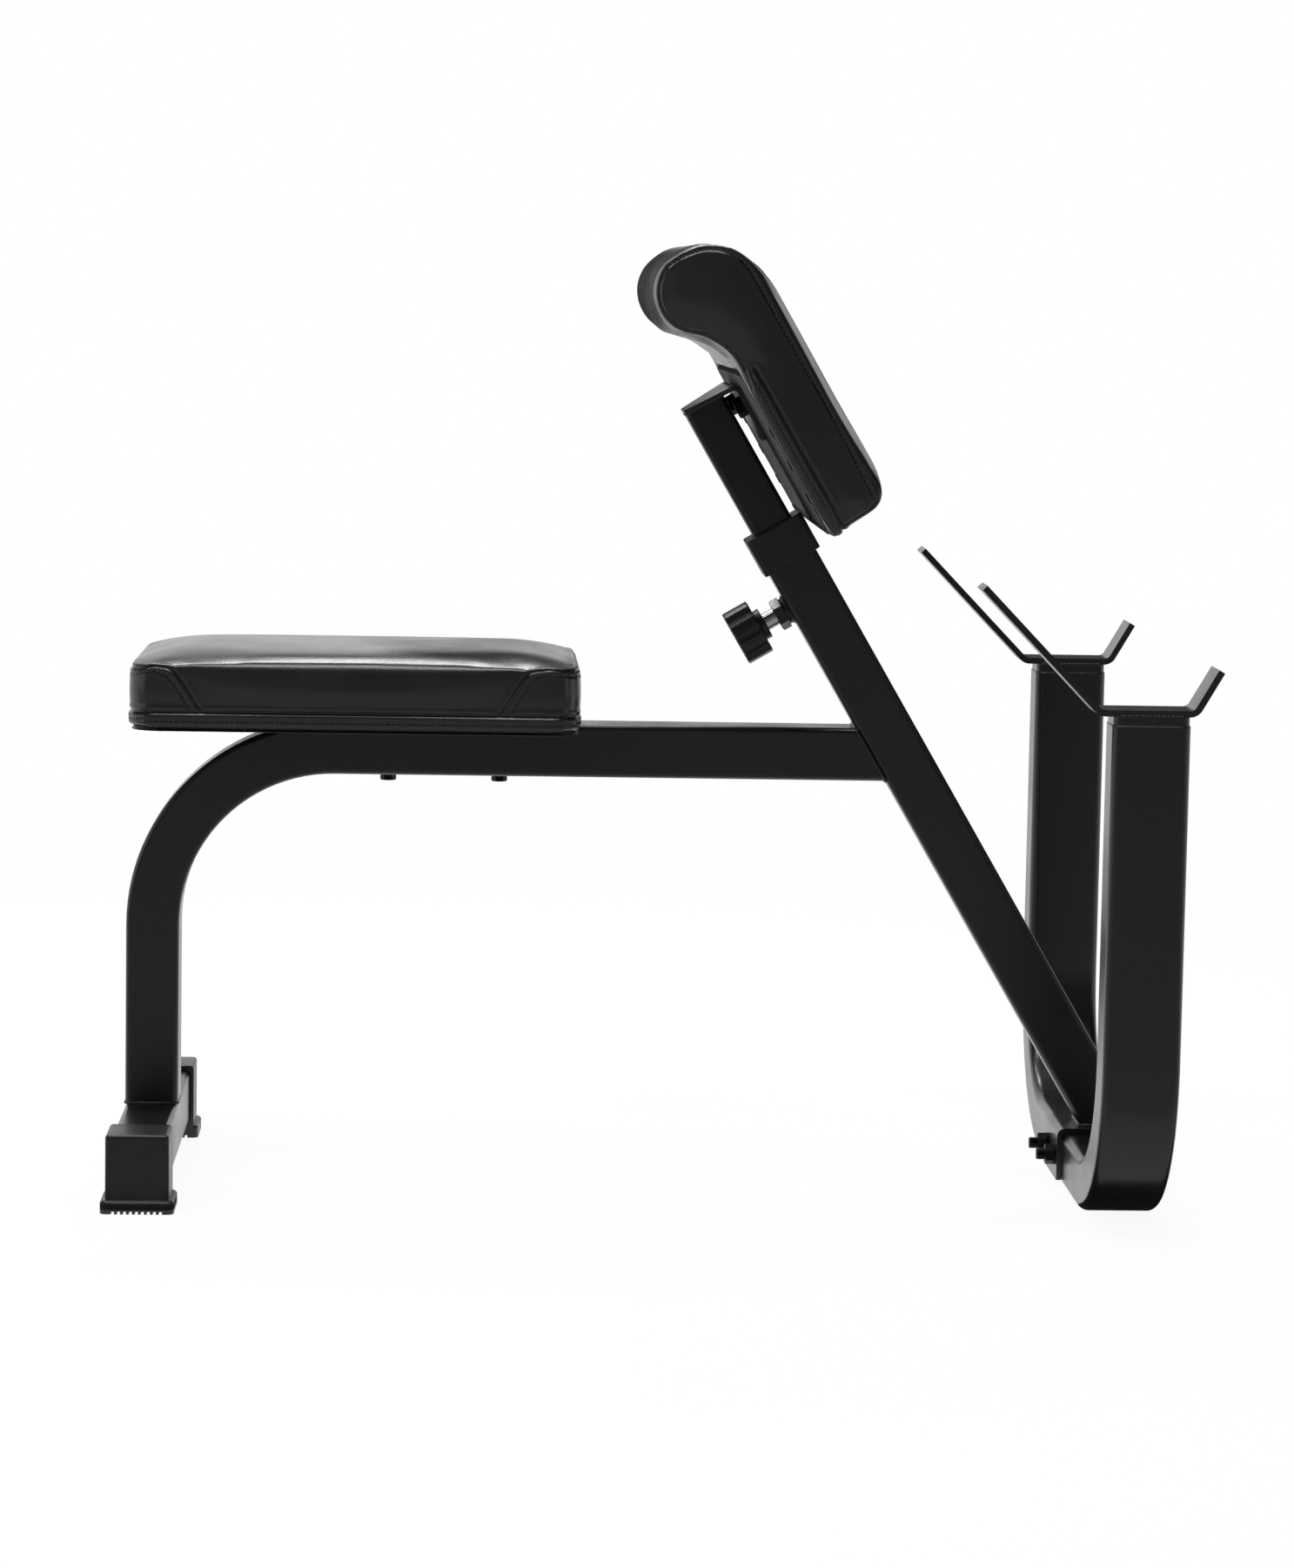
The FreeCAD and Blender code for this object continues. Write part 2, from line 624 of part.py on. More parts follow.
def inner_post_tube():
    """Telescopic tube with the row of lock holes in its rear face."""
    body = tube_section(INNER, INNER, INNER_WALL, INNER_ROUND).extrude(Vector(0, 0, INNER_LENGTH))
    body.translate(Vector(0, 0, INNER_TOP - INNER_LENGTH))
    for step in range(-LOCK_STEPS_UP, LOCK_STEPS_DOWN + 1):
        start = Vector(0, 0, LOCK_HEIGHT + step * LOCK_PITCH)
        body = body.cut(rod(PIN_DIAMETER + 2 * PIN_HOLE_GAP, start, -ALONG, INNER))
    return on_post(body)


def inner_guide():
    """Moulded plug in the inner post's lower end, whose flange runs inside the outer post."""
    bottom = INNER_TOP - INNER_LENGTH - GUIDE_HEIGHT
    width = TUBE - 2 * TUBE_WALL - 2 * GUIDE_GAP
    body = bar(width, width, TUBE_ROUND - TUBE_WALL, GUIDE_HEIGHT)
    inside = INNER - 2 * INNER_WALL - 2 * GUIDE_FIT
    stem = bar(inside, inside, INNER_ROUND - INNER_WALL, GUIDE_STEM)
    stem.translate(Vector(0, 0, GUIDE_HEIGHT))
    body = body.fuse(stem).removeSplitter()
    body.translate(Vector(0, 0, bottom))
    return on_post(body)


def taper(half_wide, half_narrow, length):
    """Outline of a strip that narrows along -X, as a face in the XY plane."""
    points = [Vector(0, half_wide, 0), Vector(-length, half_narrow, 0), Vector(-length, -half_narrow, 0),
              Vector(0, -half_wide, 0), Vector(0, half_wide, 0)]
    return Part.Face(Part.makePolygon(points))


def arm_pad_bracket():
    """Bent plate: a tapered top on the inner post and a flange behind the arm pad."""
    rear = -INNER / 2
    middle = PAD_BACK - PLATE_THICK / 2
    level = PLATE_TOP - PLATE_THICK / 2
    low = PLATE_TOP - FLANGE_LENGTH
    plate = bent_strip([(rear, level), (middle, level), (middle, low)], PLATE_BEND - PLATE_THICK / 2,
                       PLATE_THICK, PLATE_WIDTH)
    depth = PAD_BACK - PLATE_BEND - rear
    top = taper(PLATE_WIDTH / 2, PLATE_REAR_WIDTH / 2, depth).extrude(Vector(0, 0, PLATE_BEND))
    top.translate(Vector(PAD_BACK - PLATE_BEND, 0, PLATE_TOP - PLATE_BEND))
    drop = FLANGE_LENGTH - PLATE_BEND
    flange = taper(PLATE_WIDTH / 2, FLANGE_FOOT_WIDTH / 2, drop).extrude(Vector(0, 0, PLATE_BEND))
    flange.rotate(Vector(0, 0, 0), ACROSS, -90)
    flange.translate(Vector(PAD_BACK, 0, PLATE_TOP - PLATE_BEND))
    turn = block(PAD_BACK - PLATE_BEND, PAD_BACK, -PLATE_WIDTH, PLATE_WIDTH, PLATE_TOP - PLATE_BEND, PLATE_TOP)
    plate = plate.common(top.fuse([flange, turn]))
    for start in pad_bolt_places(0):
        plate = plate.cut(rod(M10["shank"] + 2 * HOLE_GAP, start, ALONG, PAD_BACK + PLATE_THICK))
    return on_post(plate.removeSplitter())


def pad_bolt_places(forward):
    """Axes of the arm pad's two bolts in the post's frame, at a distance forward of the post."""
    return [Vector(forward, side * PAD_BOLT_SPACING / 2, PAD_BOLT_HEIGHT) for side in (-1, 1)]


def arm_pad_bolts():
    """Bolts through the bracket's flange into the pad's board."""
    length = M10["washer_thick"] + PLATE_THICK + BOARD_THICK - TEE_FLANGE_THICK
    start = PAD_BACK - PLATE_THICK - M10["washer_thick"]
    return [on_post(placed(bolt(M10, length), place, ALONG)) for place in pad_bolt_places(start)]


def arm_pad_washers():
    """Washers under the arm pad bolts' heads."""
    start = PAD_BACK - PLATE_THICK
    return [on_post(placed(washer(M10), place, -ALONG)) for place in pad_bolt_places(start)]


def arm_pad_tee_nuts():
    """Tee nuts in the arm pad's board."""
    start = PAD_BACK + BOARD_THICK
    return [on_post(placed(tee_nut(M10), place, ALONG)) for place in pad_bolt_places(start)]


def pad_board_blank():
    """Arm pad's board before drilling, in the post's frame."""
    length = pad_neck().z - PAD_BOARD_GAP - PAD_BOARD_INSET
    blank = bar(length, PAD_WIDTH - 2 * PAD_BOARD_INSET, BOARD_ROUND, BOARD_THICK)
    return placed(blank, Vector(PAD_BACK, 0, PAD_LOW + PAD_BOARD_INSET + length / 2), ALONG)


def arm_pad_board():
    """Plywood board in the back of the arm pad."""
    board = pad_board_blank()
    for place in pad_bolt_places(PAD_BACK + BOARD_THICK):
        board = board.cut(placed(tee_nut_seat(M10, BOARD_THICK), place, ALONG))
    return on_post(board)


def pad_roll():
    """Centre of the roll in the arm pad's side outline, from the pad's lower back corner."""
    return Vector(PAD_ROLL_RADIUS - PAD_ROLL_OVERHANG, 0, PAD_LENGTH - PAD_ROLL_RADIUS)


def pad_neck():
    """Centre of the hollow under the roll, level with the top of the pad's flat back."""
    roll = pad_roll()
    gap = PAD_NECK_RADIUS + PAD_ROLL_RADIUS
    x = PAD_BACK_TUCK - PAD_NECK_RADIUS
    return Vector(x, 0, roll.z - math.sqrt(gap ** 2 - (roll.x - x) ** 2))


def pad_outline(inset, crown, y):
    """Arm pad's side outline at a Y, drawn in by an inset, with a crown on its front, in the post's frame."""
    roll = pad_roll()
    neck = pad_neck()
    front = PAD_THICK + crown
    roll_radius = PAD_ROLL_RADIUS - inset
    neck_radius = PAD_NECK_RADIUS + inset
    meet = roll + (neck - roll).normalize() * roll_radius
    neck_turn = math.atan2(meet.z - neck.z, meet.x - neck.x) / 2
    roll_turn = (math.atan2(meet.z - roll.z, meet.x - roll.x) % (2 * math.pi) + math.pi / 2) / 2

    def around(centre, radius, angle):
        """Point on a circle in the XZ plane."""
        return centre + Vector(radius * math.cos(angle), 0, radius * math.sin(angle))

    def corner(x, z, radius, angle):
        """Arc of a quarter turn round a corner's centre, clockwise from an angle."""
        return [around(Vector(x, 0, z), radius - inset, angle - i * math.pi / 4) for i in range(3)]

    chain = [
        [around(neck, neck_radius, 0), around(neck, neck_radius, neck_turn), meet],
        [meet, around(roll, roll_radius, roll_turn), around(roll, roll_radius, math.pi / 2)],
        corner(front - PAD_FRONT_RADIUS, PAD_LENGTH - PAD_FRONT_RADIUS, PAD_FRONT_RADIUS, math.pi / 2),
        corner(front - PAD_FRONT_CORNER, PAD_FRONT_CORNER, PAD_FRONT_CORNER, 0),
        corner(PAD_BACK_TUCK + PAD_BACK_CORNER, PAD_BACK_CORNER, PAD_BACK_CORNER, -math.pi / 2),
    ]
    base = Vector(PAD_BACK, y, PAD_LOW)
    edges = []
    for i, arc in enumerate(chain):
        edges.append(Part.Arc(*[base + p for p in arc]).toShape())
        following = chain[(i + 1) % len(chain)][0]
        if arc[-1].distanceToPoint(following) > 1e-6:
            edges.append(Part.LineSegment(base + arc[-1], base + following).toShape())
    return Part.Wire(edges)


def pad_band():
    """Sewn band round the arm pad's back, a little longer than the pad below it."""
    length = pad_neck().z - PAD_BAND_GAP + PAD_BAND_DROP
    blank = bar(length, PAD_WIDTH - 2 * PAD_BAND_TUCK, PAD_BAND_ROUND, PAD_BAND)
    band = placed(blank, Vector(PAD_BACK, 0, PAD_LOW - PAD_BAND_DROP + length / 2), ALONG)
    foot = [e for e in band.Edges if e.BoundBox.ZMax < PAD_LOW and e.BoundBox.YLength > PAD_WIDTH / 2]
    return band.makeFillet(PAD_BAND_ROUND, foot)


def arm_pad_cushion():
    """Arm pad with a roll along its top, fullest in the middle and drawn in at its ends."""
    half = PAD_WIDTH / 2
    run = half - PAD_END_ROUND
    full = pad_outline(0, 0, run)
    middle = Part.makeLoft([pad_outline(0, 0, -run), pad_outline(0, PAD_CROWN, 0), full], True)
    waist = pad_outline(PAD_END_DRAW / 3, 0, half - PAD_END_ROUND / 3)
    end = Part.makeLoft([full, waist, pad_outline(PAD_END_DRAW, 0, half)], True)
    body = middle.fuse([end, mirrored(end), pad_band()])
    return on_post(body.cut(pad_board_blank()).removeSplitter())


# Seat

def seat_middle():
    """X of the seat's middle."""
    return LEG_X - SEAT_REAR + SEAT_LENGTH / 2


def seat_board_blank():
    """Seat's board before drilling."""
    blank = bar(SEAT_LENGTH - 2 * BOARD_INSET, SEAT_WIDTH - 2 * BOARD_INSET, BOARD_ROUND, BOARD_THICK)
    blank.translate(Vector(seat_middle(), 0, RAIL_TOP))
    return blank


def seat_board():
    """Plywood board in the bottom of the seat, drilled for its tee nuts."""
    board = seat_board_blank()
    for x in seat_bolt_places():
        board = board.cut(placed(tee_nut_seat(M8, BOARD_THICK), Vector(x, 0, RAIL_TOP + BOARD_THICK), UP))
    return board


def seat_cushion():
    """Seat pad: a band round its foot, sides drawn in at the seam, and a crowned top."""
    layers = [
        (0.0, 6.0), (3.0, 1.0), (SEAT_BAND / 2, 0.0), (SEAT_BAND, 1.5), (SEAT_THICK * 0.5, 0.0),
        (SEAT_THICK * 0.75, 1.0), (SEAT_THICK * 0.88, 4.0), (SEAT_THICK * 0.97, 11.0),
        (SEAT_THICK + SEAT_CROWN * 0.4, 28.0), (SEAT_THICK + SEAT_CROWN * 0.85, 62.0),
        (SEAT_THICK + SEAT_CROWN, 110.0),
    ]
    wires = []
    for height, inset in layers:
        length, width = SEAT_LENGTH - 2 * inset, SEAT_WIDTH - 2 * inset
        radius = max(SEAT_CORNER - inset / 4, SEAT_CORNER / 2)
        wires.append(rounded_rectangle(length, width, radius, RAIL_TOP + height))
    body = Part.makeLoft(wires, True, True)
    body.translate(Vector(seat_middle(), 0, 0))
    return body.cut(seat_board_blank())


def seat_bolts():
    """Bolts up through the rail into the seat's board."""
    length = M8["washer_thick"] + TUBE + BOARD_THICK - TEE_FLANGE_THICK
    height = RAIL_BOTTOM - M8["washer_thick"]
    return [placed(bolt(M8, length), Vector(x, 0, height), UP) for x in seat_bolt_places()]


def seat_washers():
    """Washers under the seat bolts' heads."""
    return [placed(washer(M8), Vector(x, 0, RAIL_BOTTOM), -UP) for x in seat_bolt_places()]


def seat_tee_nuts():
    """Tee nuts in the seat's board."""
    return [placed(tee_nut(M8), Vector(x, 0, RAIL_TOP + BOARD_THICK), UP) for x in seat_bolt_places()]


def build():
    """Every sub-part by name, each as one solid or a list of like solids."""
    cap = rear_foot_cap()
    end_plate = stand_end_plate()
    catch = bar_catch()
    return {
        "main_rail": main_rail(),
        "rear_foot_tube": rear_foot_tube(),
        "rear_foot_cap_right": cap,
        "rear_foot_cap_left": mirrored(cap),
        "bar_stand_tube": bar_stand_tube(),
        "stand_end_plate_right": end_plate,
        "stand_end_plate_left": mirrored(end_plate),
        "bar_catch_right": catch,
        "bar_catch_left": mirrored(catch),
        "post_foot_bracket": post_foot_bracket(),
        "stand_bolts": stand_bolts(),
        "stand_washers": stand_washers(),
        "stand_nuts": stand_nuts(),
        "post_tube": post_tube(),
        "post_collar": post_collar(),
        "lock_housing": lock_housing(),
        "lock_pin": lock_pin(),
        "lock_knob": lock_knob(),
        "inner_post_tube": inner_post_tube(),
        "inner_guide": inner_guide(),
        "arm_pad_bracket": arm_pad_bracket(),
        "arm_pad_bolts": arm_pad_bolts(),
        "arm_pad_washers": arm_pad_washers(),
        "arm_pad_tee_nuts": arm_pad_tee_nuts(),
        "arm_pad_board": arm_pad_board(),
        "arm_pad_cushion": arm_pad_cushion(),
        "seat_board": seat_board(),
        "seat_cushion": seat_cushion(),
        "seat_bolts": seat_bolts(),
        "seat_washers": seat_washers(),
        "seat_tee_nuts": seat_tee_nuts(),
    }


def main():
    """Write each sub-part to its own STEP file."""
    os.makedirs("parts", exist_ok=True)
    for name, shape in build().items():
        if isinstance(shape, list):
            shape = Part.makeCompound(shape)
        shape.exportStep("parts/" + name + ".step")


main()
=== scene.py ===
"""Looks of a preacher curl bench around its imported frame, in metres with +Z up.

Tubes, plates, mouldings and fasteners keep their CAD meshes and get finishes made of nodes.
The two cushions with their seams and stitches, the hems and staples behind them, the weld beads
and the bolt threads are modelled here. X runs from the seat to the bar catches, and the side
towards the camera is -Y. Sizes of the bench's pieces are held in mm, and the studio's in metres.
"""
from __future__ import annotations

import json
import logging
import math
from collections.abc import Iterator, Sequence
from contextlib import contextmanager
from dataclasses import dataclass
from enum import Enum
from functools import cache

import bpy
import numpy as np
from bpy.types import Material, Mesh, Node, NodeSocket, NodeTree, Object
from mathutils import Matrix, Vector
from mathutils.bvhtree import BVHTree
from mathutils.kdtree import KDTree

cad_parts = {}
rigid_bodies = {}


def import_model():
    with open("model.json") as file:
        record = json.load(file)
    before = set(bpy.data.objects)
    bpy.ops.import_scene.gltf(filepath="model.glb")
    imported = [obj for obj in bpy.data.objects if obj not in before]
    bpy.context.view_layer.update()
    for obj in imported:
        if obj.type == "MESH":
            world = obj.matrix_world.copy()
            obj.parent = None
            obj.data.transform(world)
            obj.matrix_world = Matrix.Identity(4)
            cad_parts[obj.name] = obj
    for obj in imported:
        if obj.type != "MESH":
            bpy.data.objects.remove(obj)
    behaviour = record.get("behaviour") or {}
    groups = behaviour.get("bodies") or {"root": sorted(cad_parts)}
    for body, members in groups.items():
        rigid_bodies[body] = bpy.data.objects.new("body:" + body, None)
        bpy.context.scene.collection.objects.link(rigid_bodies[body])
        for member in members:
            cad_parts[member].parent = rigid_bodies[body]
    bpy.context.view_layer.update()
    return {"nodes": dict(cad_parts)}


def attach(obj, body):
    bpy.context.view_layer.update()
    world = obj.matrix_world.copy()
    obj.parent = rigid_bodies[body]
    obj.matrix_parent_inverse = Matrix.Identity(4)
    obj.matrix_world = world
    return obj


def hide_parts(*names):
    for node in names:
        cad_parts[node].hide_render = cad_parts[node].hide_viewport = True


LOG = logging.getLogger("bench")
MM = 0.001
# Points on each span of a curved line, and on each round corner of a loop
CURVE_STEPS = 24
CORNER_STEPS = 9
# Step along sewn lines and hems, in mm
FINE = 1.0
# Share of the way to its neighbours' middle that a vertex goes in one smoothing pass
SMOOTHING = 0.5
# Smallest length that is divided by, in metres
TINY = 1e-9
# Name of the mesh layer that a cover carries along its seams, which sets the painted shade in them
SEAM_SHADE_MARK = "seam"
# Foot of the post's axis, as X and Z in mm, and the post's lean in degrees
POST_FOOT = (447.451, 55.0)
POST_LEAN = 30.5


class Slot(Enum):
    """Material slots of the record."""

    PAINT = "black_paint"
    PLASTIC = "black_plastic"
    UPHOLSTERY = "black_upholstery"
    BOARD = "board"
    FASTENER = "fastener"
    CHROME = "chrome"


class Body(Enum):
    """Bodies that new pieces ride on."""

    FRAME = "frame"
    CARRIAGE = "carriage"


class Kind(Enum):
    """What a selection in edit mode is made of."""

    VERT = "VERT"
    FACE = "FACE"


# Bench tools

def deselect() -> None:
    """Leave edit mode with nothing selected."""
    if bpy.context.object and bpy.context.object.mode != "OBJECT":
        bpy.ops.object.mode_set(mode="OBJECT")
    bpy.ops.object.select_all(action="DESELECT")


def activate(obj: Object) -> None:
    """Make one object the only selected and active one.

    Args:
        obj: The object.
    """
    deselect()
    obj.select_set(True)
    bpy.context.view_layer.objects.active = obj


@contextmanager
def editing(obj: Object) -> Iterator[None]:
    """Open an object in edit mode with everything selected.

    Args:
        obj: The mesh object.

    Returns:
        A context that leaves edit mode at its end.
    """
    activate(obj)
    bpy.ops.object.mode_set(mode="EDIT")
    bpy.ops.mesh.select_all(action="SELECT")
    yield
    bpy.ops.object.mode_set(mode="OBJECT")


def pick(obj: Object, kind: Kind, wanted: np.ndarray) -> None:
    """Select parts of a mesh by a mask while it is in edit mode.

    Args:
        obj: The mesh object in edit mode.
        kind: What the mask counts.
        wanted: One true or false for each part.
    """
    bpy.ops.mesh.select_mode(type=kind.value)
    bpy.ops.mesh.select_all(action="DESELECT")
    bpy.ops.object.mode_set(mode="OBJECT")
    parts = obj.data.vertices if kind is Kind.VERT else obj.data.polygons
    parts.foreach_set("select", np.asarray(wanted, bool))
    bpy.ops.object.mode_set(mode="EDIT")


def finish_with(obj: Object, kind: str, **settings: object) -> None:
    """Add a modifier and apply it.

    Args:
        obj: The mesh object.
        kind: Blender's name for the modifier.
        settings: Values for its properties.
    """
    activate(obj)
    made = obj.modifiers.new(kind, kind)
    for name, value in settings.items():
        setattr(made, name, value)
    bpy.ops.object.modifier_apply(modifier=made.name)


def relax(obj: Object, passes: int) -> None:
    """Smooth all vertices of a mesh a number of times."""
    with editing(obj):
        bpy.ops.mesh.vertices_smooth(factor=SMOOTHING, repeat=passes)


def soften(obj: Object) -> None:
    """Shade a mesh smooth."""
    activate(obj)
    bpy.ops.object.shade_smooth()


def rows_of(parts: Sequence, value: str) -> np.ndarray:
    """Three numbers of each part of a mesh.

    Args:
        parts: The mesh's vertices, faces or normals.
        value: Blender's name for the numbers.

    Returns:
        The numbers as rows.
    """
    found = np.empty(len(parts) * 3)
    parts.foreach_get(value, found)
    return found.reshape(-1, 3)


def points_of(obj: Object) -> np.ndarray:
    """Vertices of a mesh as rows."""
    return rows_of(obj.data.vertices, "co")


def normals_of(obj: Object) -> np.ndarray:
    """Vertex normals of a mesh as rows."""
    return rows_of(obj.data.vertex_normals, "vector")


def face_middles(obj: Object) -> np.ndarray:
    """Middles of a mesh's faces as rows."""
    return rows_of(obj.data.polygons, "center")


def put_points(obj: Object, points: np.ndarray) -> None:
    """Give a mesh new vertex places."""
    obj.data.vertices.foreach_set("co", points.astype(np.float32).ravel())
    obj.data.update()


def last_made(name: str) -> Object:
    """Rename the object that an operator has just added.

    Args:
        name: New name of the object and its data.

    Returns:
        The object.
    """
    obj = bpy.context.object
    obj.name = name
    obj.data.name = name
    return obj


def new_object(name: str, mesh: Mesh) -> Object:
    """Put a mesh into the scene.

    Args:
        name: Name of the object.
        mesh: Its mesh.

    Returns:
        The new object.
    """
    obj = bpy.data.objects.new(name, mesh)
    bpy.context.scene.collection.objects.link(obj)
    return obj


def even_line(corners: Sequence[Sequence[float]], step: float, closed: bool = False,
              smooth: bool = True) -> np.ndarray:
    """Even steps along a line through corners.

    Args:
        corners: Points of the line, in any unit.
        step: Distance between the new points, in the same unit.
        closed: Whether the line returns to its start.
        smooth: Whether it curves through the corners.

    Returns:
        The new points as rows.
    """
    ends = np.asarray(corners, float)
    if closed:
        ends = np.vstack([ends[-1:], ends, ends[:2]])
    else:
        ends = np.vstack([2 * ends[0] - ends[1], ends, 2 * ends[-1] - ends[-2]])
    share = np.linspace(0, 1, CURVE_STEPS, endpoint=False)[:, None]
    runs = []
    for a, b, c, d in zip(ends, ends[1:], ends[2:], ends[3:]):
        bend = (2 * a - 5 * b + 4 * c - d) * share ** 2 + (3 * b - a - 3 * c + d) * share ** 3
        runs.append(b + ((c - a) * share + bend) / 2 if smooth else b + (c - b) * share)
    line = np.vstack(runs + [ends[-2:-1]])
    length = np.concatenate([[0], np.cumsum(np.linalg.norm(np.diff(line, axis=0), axis=1))])
    count = max(2, round(length[-1] / step))
    at = np.linspace(0, length[-1], count, endpoint=not closed)
    return np.stack([np.interp(at, length, line[:, i]) for i in range(3)], axis=1)


def round_loop(length: float, width: float, radius: float) -> np.ndarray:
    """Rectangle with round corners about the origin, as closed points at height zero.

    Args:
        length: Size along X.
        width: Size along Y.
        radius: Corner radius.

    Returns:
        Points as rows.
    """
    turns = np.radians(np.linspace(0, 90, CORNER_STEPS))
    loop = []
    for quarter, (sx, sy) in enumerate([(1, 1), (-1, 1), (-1, -1), (1, -1)]):
        centre = np.array([sx * (length / 2 - radius), sy * (width / 2 - radius)])
        angles = turns + quarter * math.pi / 2
        loop.append(centre + radius * np.stack([np.cos(angles), np.sin(angles)], axis=1))
    flat = np.vstack(loop)
    return np.column_stack([flat, np.zeros(len(flat))])


def arc(centre: Sequence[float], radii: Sequence[float], turns: Sequence[float]) -> list[tuple[float, float]]:
    """Points on an ellipse, at angles in degrees."""
    return [(centre[0] + radii[0] * math.cos(t), centre[1] + radii[1] * math.sin(t))
            for t in np.radians(turns)]


def opened(loop: np.ndarray, gap: np.ndarray) -> np.ndarray:
    """Cut a closed loop open at a gap.

    Args:
        loop: Points along the loop.
        gap: One true or false for each point, true in the gap.

    Returns:
        The points outside the gap, from one side of it round to the other.
    """
    last = int(np.argmax(gap & ~np.roll(gap, -1)))
    return np.roll(loop, -last - 1, 0)[:int((~gap).sum())]


def nearest(line: np.ndarray, points: np.ndarray) -> tuple[np.ndarray, np.ndarray]:
    """Distance of points from a line and the line's point that is nearest to each.

    Args:
        line: Points along the line.
        points: Points to measure from.

    Returns:
        Distances and indices.
    """
    tree = KDTree(len(line))
    for i, point in enumerate(line):
        tree.insert(point, i)
    tree.balance()
    found = [tree.find(p) for p in points]
    return np.array([f[2] for f in found]), np.array([f[1] for f in found])


def skin_tree(obj: Object) -> BVHTree:
    """Search tree over a mesh's faces."""
    return BVHTree.FromPolygons([v.co for v in obj.data.vertices], [p.vertices for p in obj.data.polygons])


def laid_on(obj: Object, line: np.ndarray) -> np.ndarray:
    """Points of a line moved to the nearest places on a skin."""
    tree = skin_tree(obj)
    return np.array([tree.find_nearest(Vector(p))[0] for p in line])


def frame_at(place: Sequence[float], along: Sequence[float], up: Sequence[float]) -> Matrix:
    """Matrix with X along a direction and Z near another one.

    Args:
        place: Origin in metres.
        along: Direction of the X axis.
        up: Direction that Z leans to.

    Returns:
        The 4 x 4 matrix.
    """
    x = Vector(along).normalized()
    y = Vector(up).cross(x).normalized()
    z = x.cross(y)
    turn = Matrix((x, y, z)).transposed().to_4x4()
    return Matrix.Translation(Vector(place)) @ turn


def scatter(name: str, pattern: Object, places: Sequence[Matrix]) -> Object:
    """Copies of a modelled pattern as one new mesh. The pattern itself is removed.

    Args:
        name: Name of the new object.
        pattern: Object that is repeated.
        places: A matrix for each copy.

    Returns:
        The new object.
    """
    shape = np.column_stack([points_of(pattern), np.ones(len(pattern.data.vertices))])
    faces = [list(p.vertices) for p in pattern.data.polygons]
    stack = np.vstack([(shape @ np.array(place).T)[:, :3] for place in places])
    copies = [[v + i * len(shape) for v in face] for i in range(len(places)) for face in faces]
    mesh = bpy.data.meshes.new(name)
    mesh.from_pydata(stack.tolist(), [], copies)
    obj = new_object(name, mesh)
    bpy.data.objects.remove(pattern)
    soften(obj)
    return obj


# Finishes

def linear(colour: str) -> tuple[float, float, float, float]:
    """Turn an sRGB hex value to a linear colour.

    Args:
        colour: A hash sign and six hex digits.

    Returns:
        Red, green, blue and an alpha of one.
    """
    parts = [int(colour[i:i + 2], 16) / 255 for i in (1, 3, 5)]
    flat = [c / 12.92 if c <= 0.04045 else ((c + 0.055) / 1.055) ** 2.4 for c in parts]
    return flat[0], flat[1], flat[2], 1.0


def per_mm(size: float) -> float:
    """Scale of a pattern on object coordinates whose features are a size in mm."""
    return 1 / (size * MM)


def add_node(tree: NodeTree, kind: str, settings: dict | None = None, links: dict | None = None) -> Node:
    """Add a node to a tree.

    Args:
        tree: Node tree of a material or world.
        kind: Blender's name for the node, without its ShaderNode prefix.
        settings: Values for its inputs, by name or number, or for its properties.
        links: Sockets that feed its inputs, by name or number.

    Returns:
        The new node.
    """
    made = tree.nodes.new("ShaderNode" + kind)
    for name, value in (settings or {}).items():
        if isinstance(name, int) or name in made.inputs:
            made.inputs[name].default_value = value
        else:
            setattr(made, name, value)
    for name, socket in (links or {}).items():
        tree.links.new(socket, made.inputs[name])
    return made


def fresh_tree(name: str) -> tuple[Material, NodeTree]:
    """Start a material with an empty node tree.

    Args:
        name: Name of the material.

    Returns:
        The material and its tree.
    """
    material = bpy.data.materials.new(name)
    material.use_nodes = True
    material.node_tree.nodes.clear()
    return material, material.node_tree


@dataclass(frozen=True)
class Surface:
    """What a finish is drawn on: a node tree, the object's coordinates and a noise of large patches."""

    tree: NodeTree
    place: NodeSocket
    patches: NodeSocket


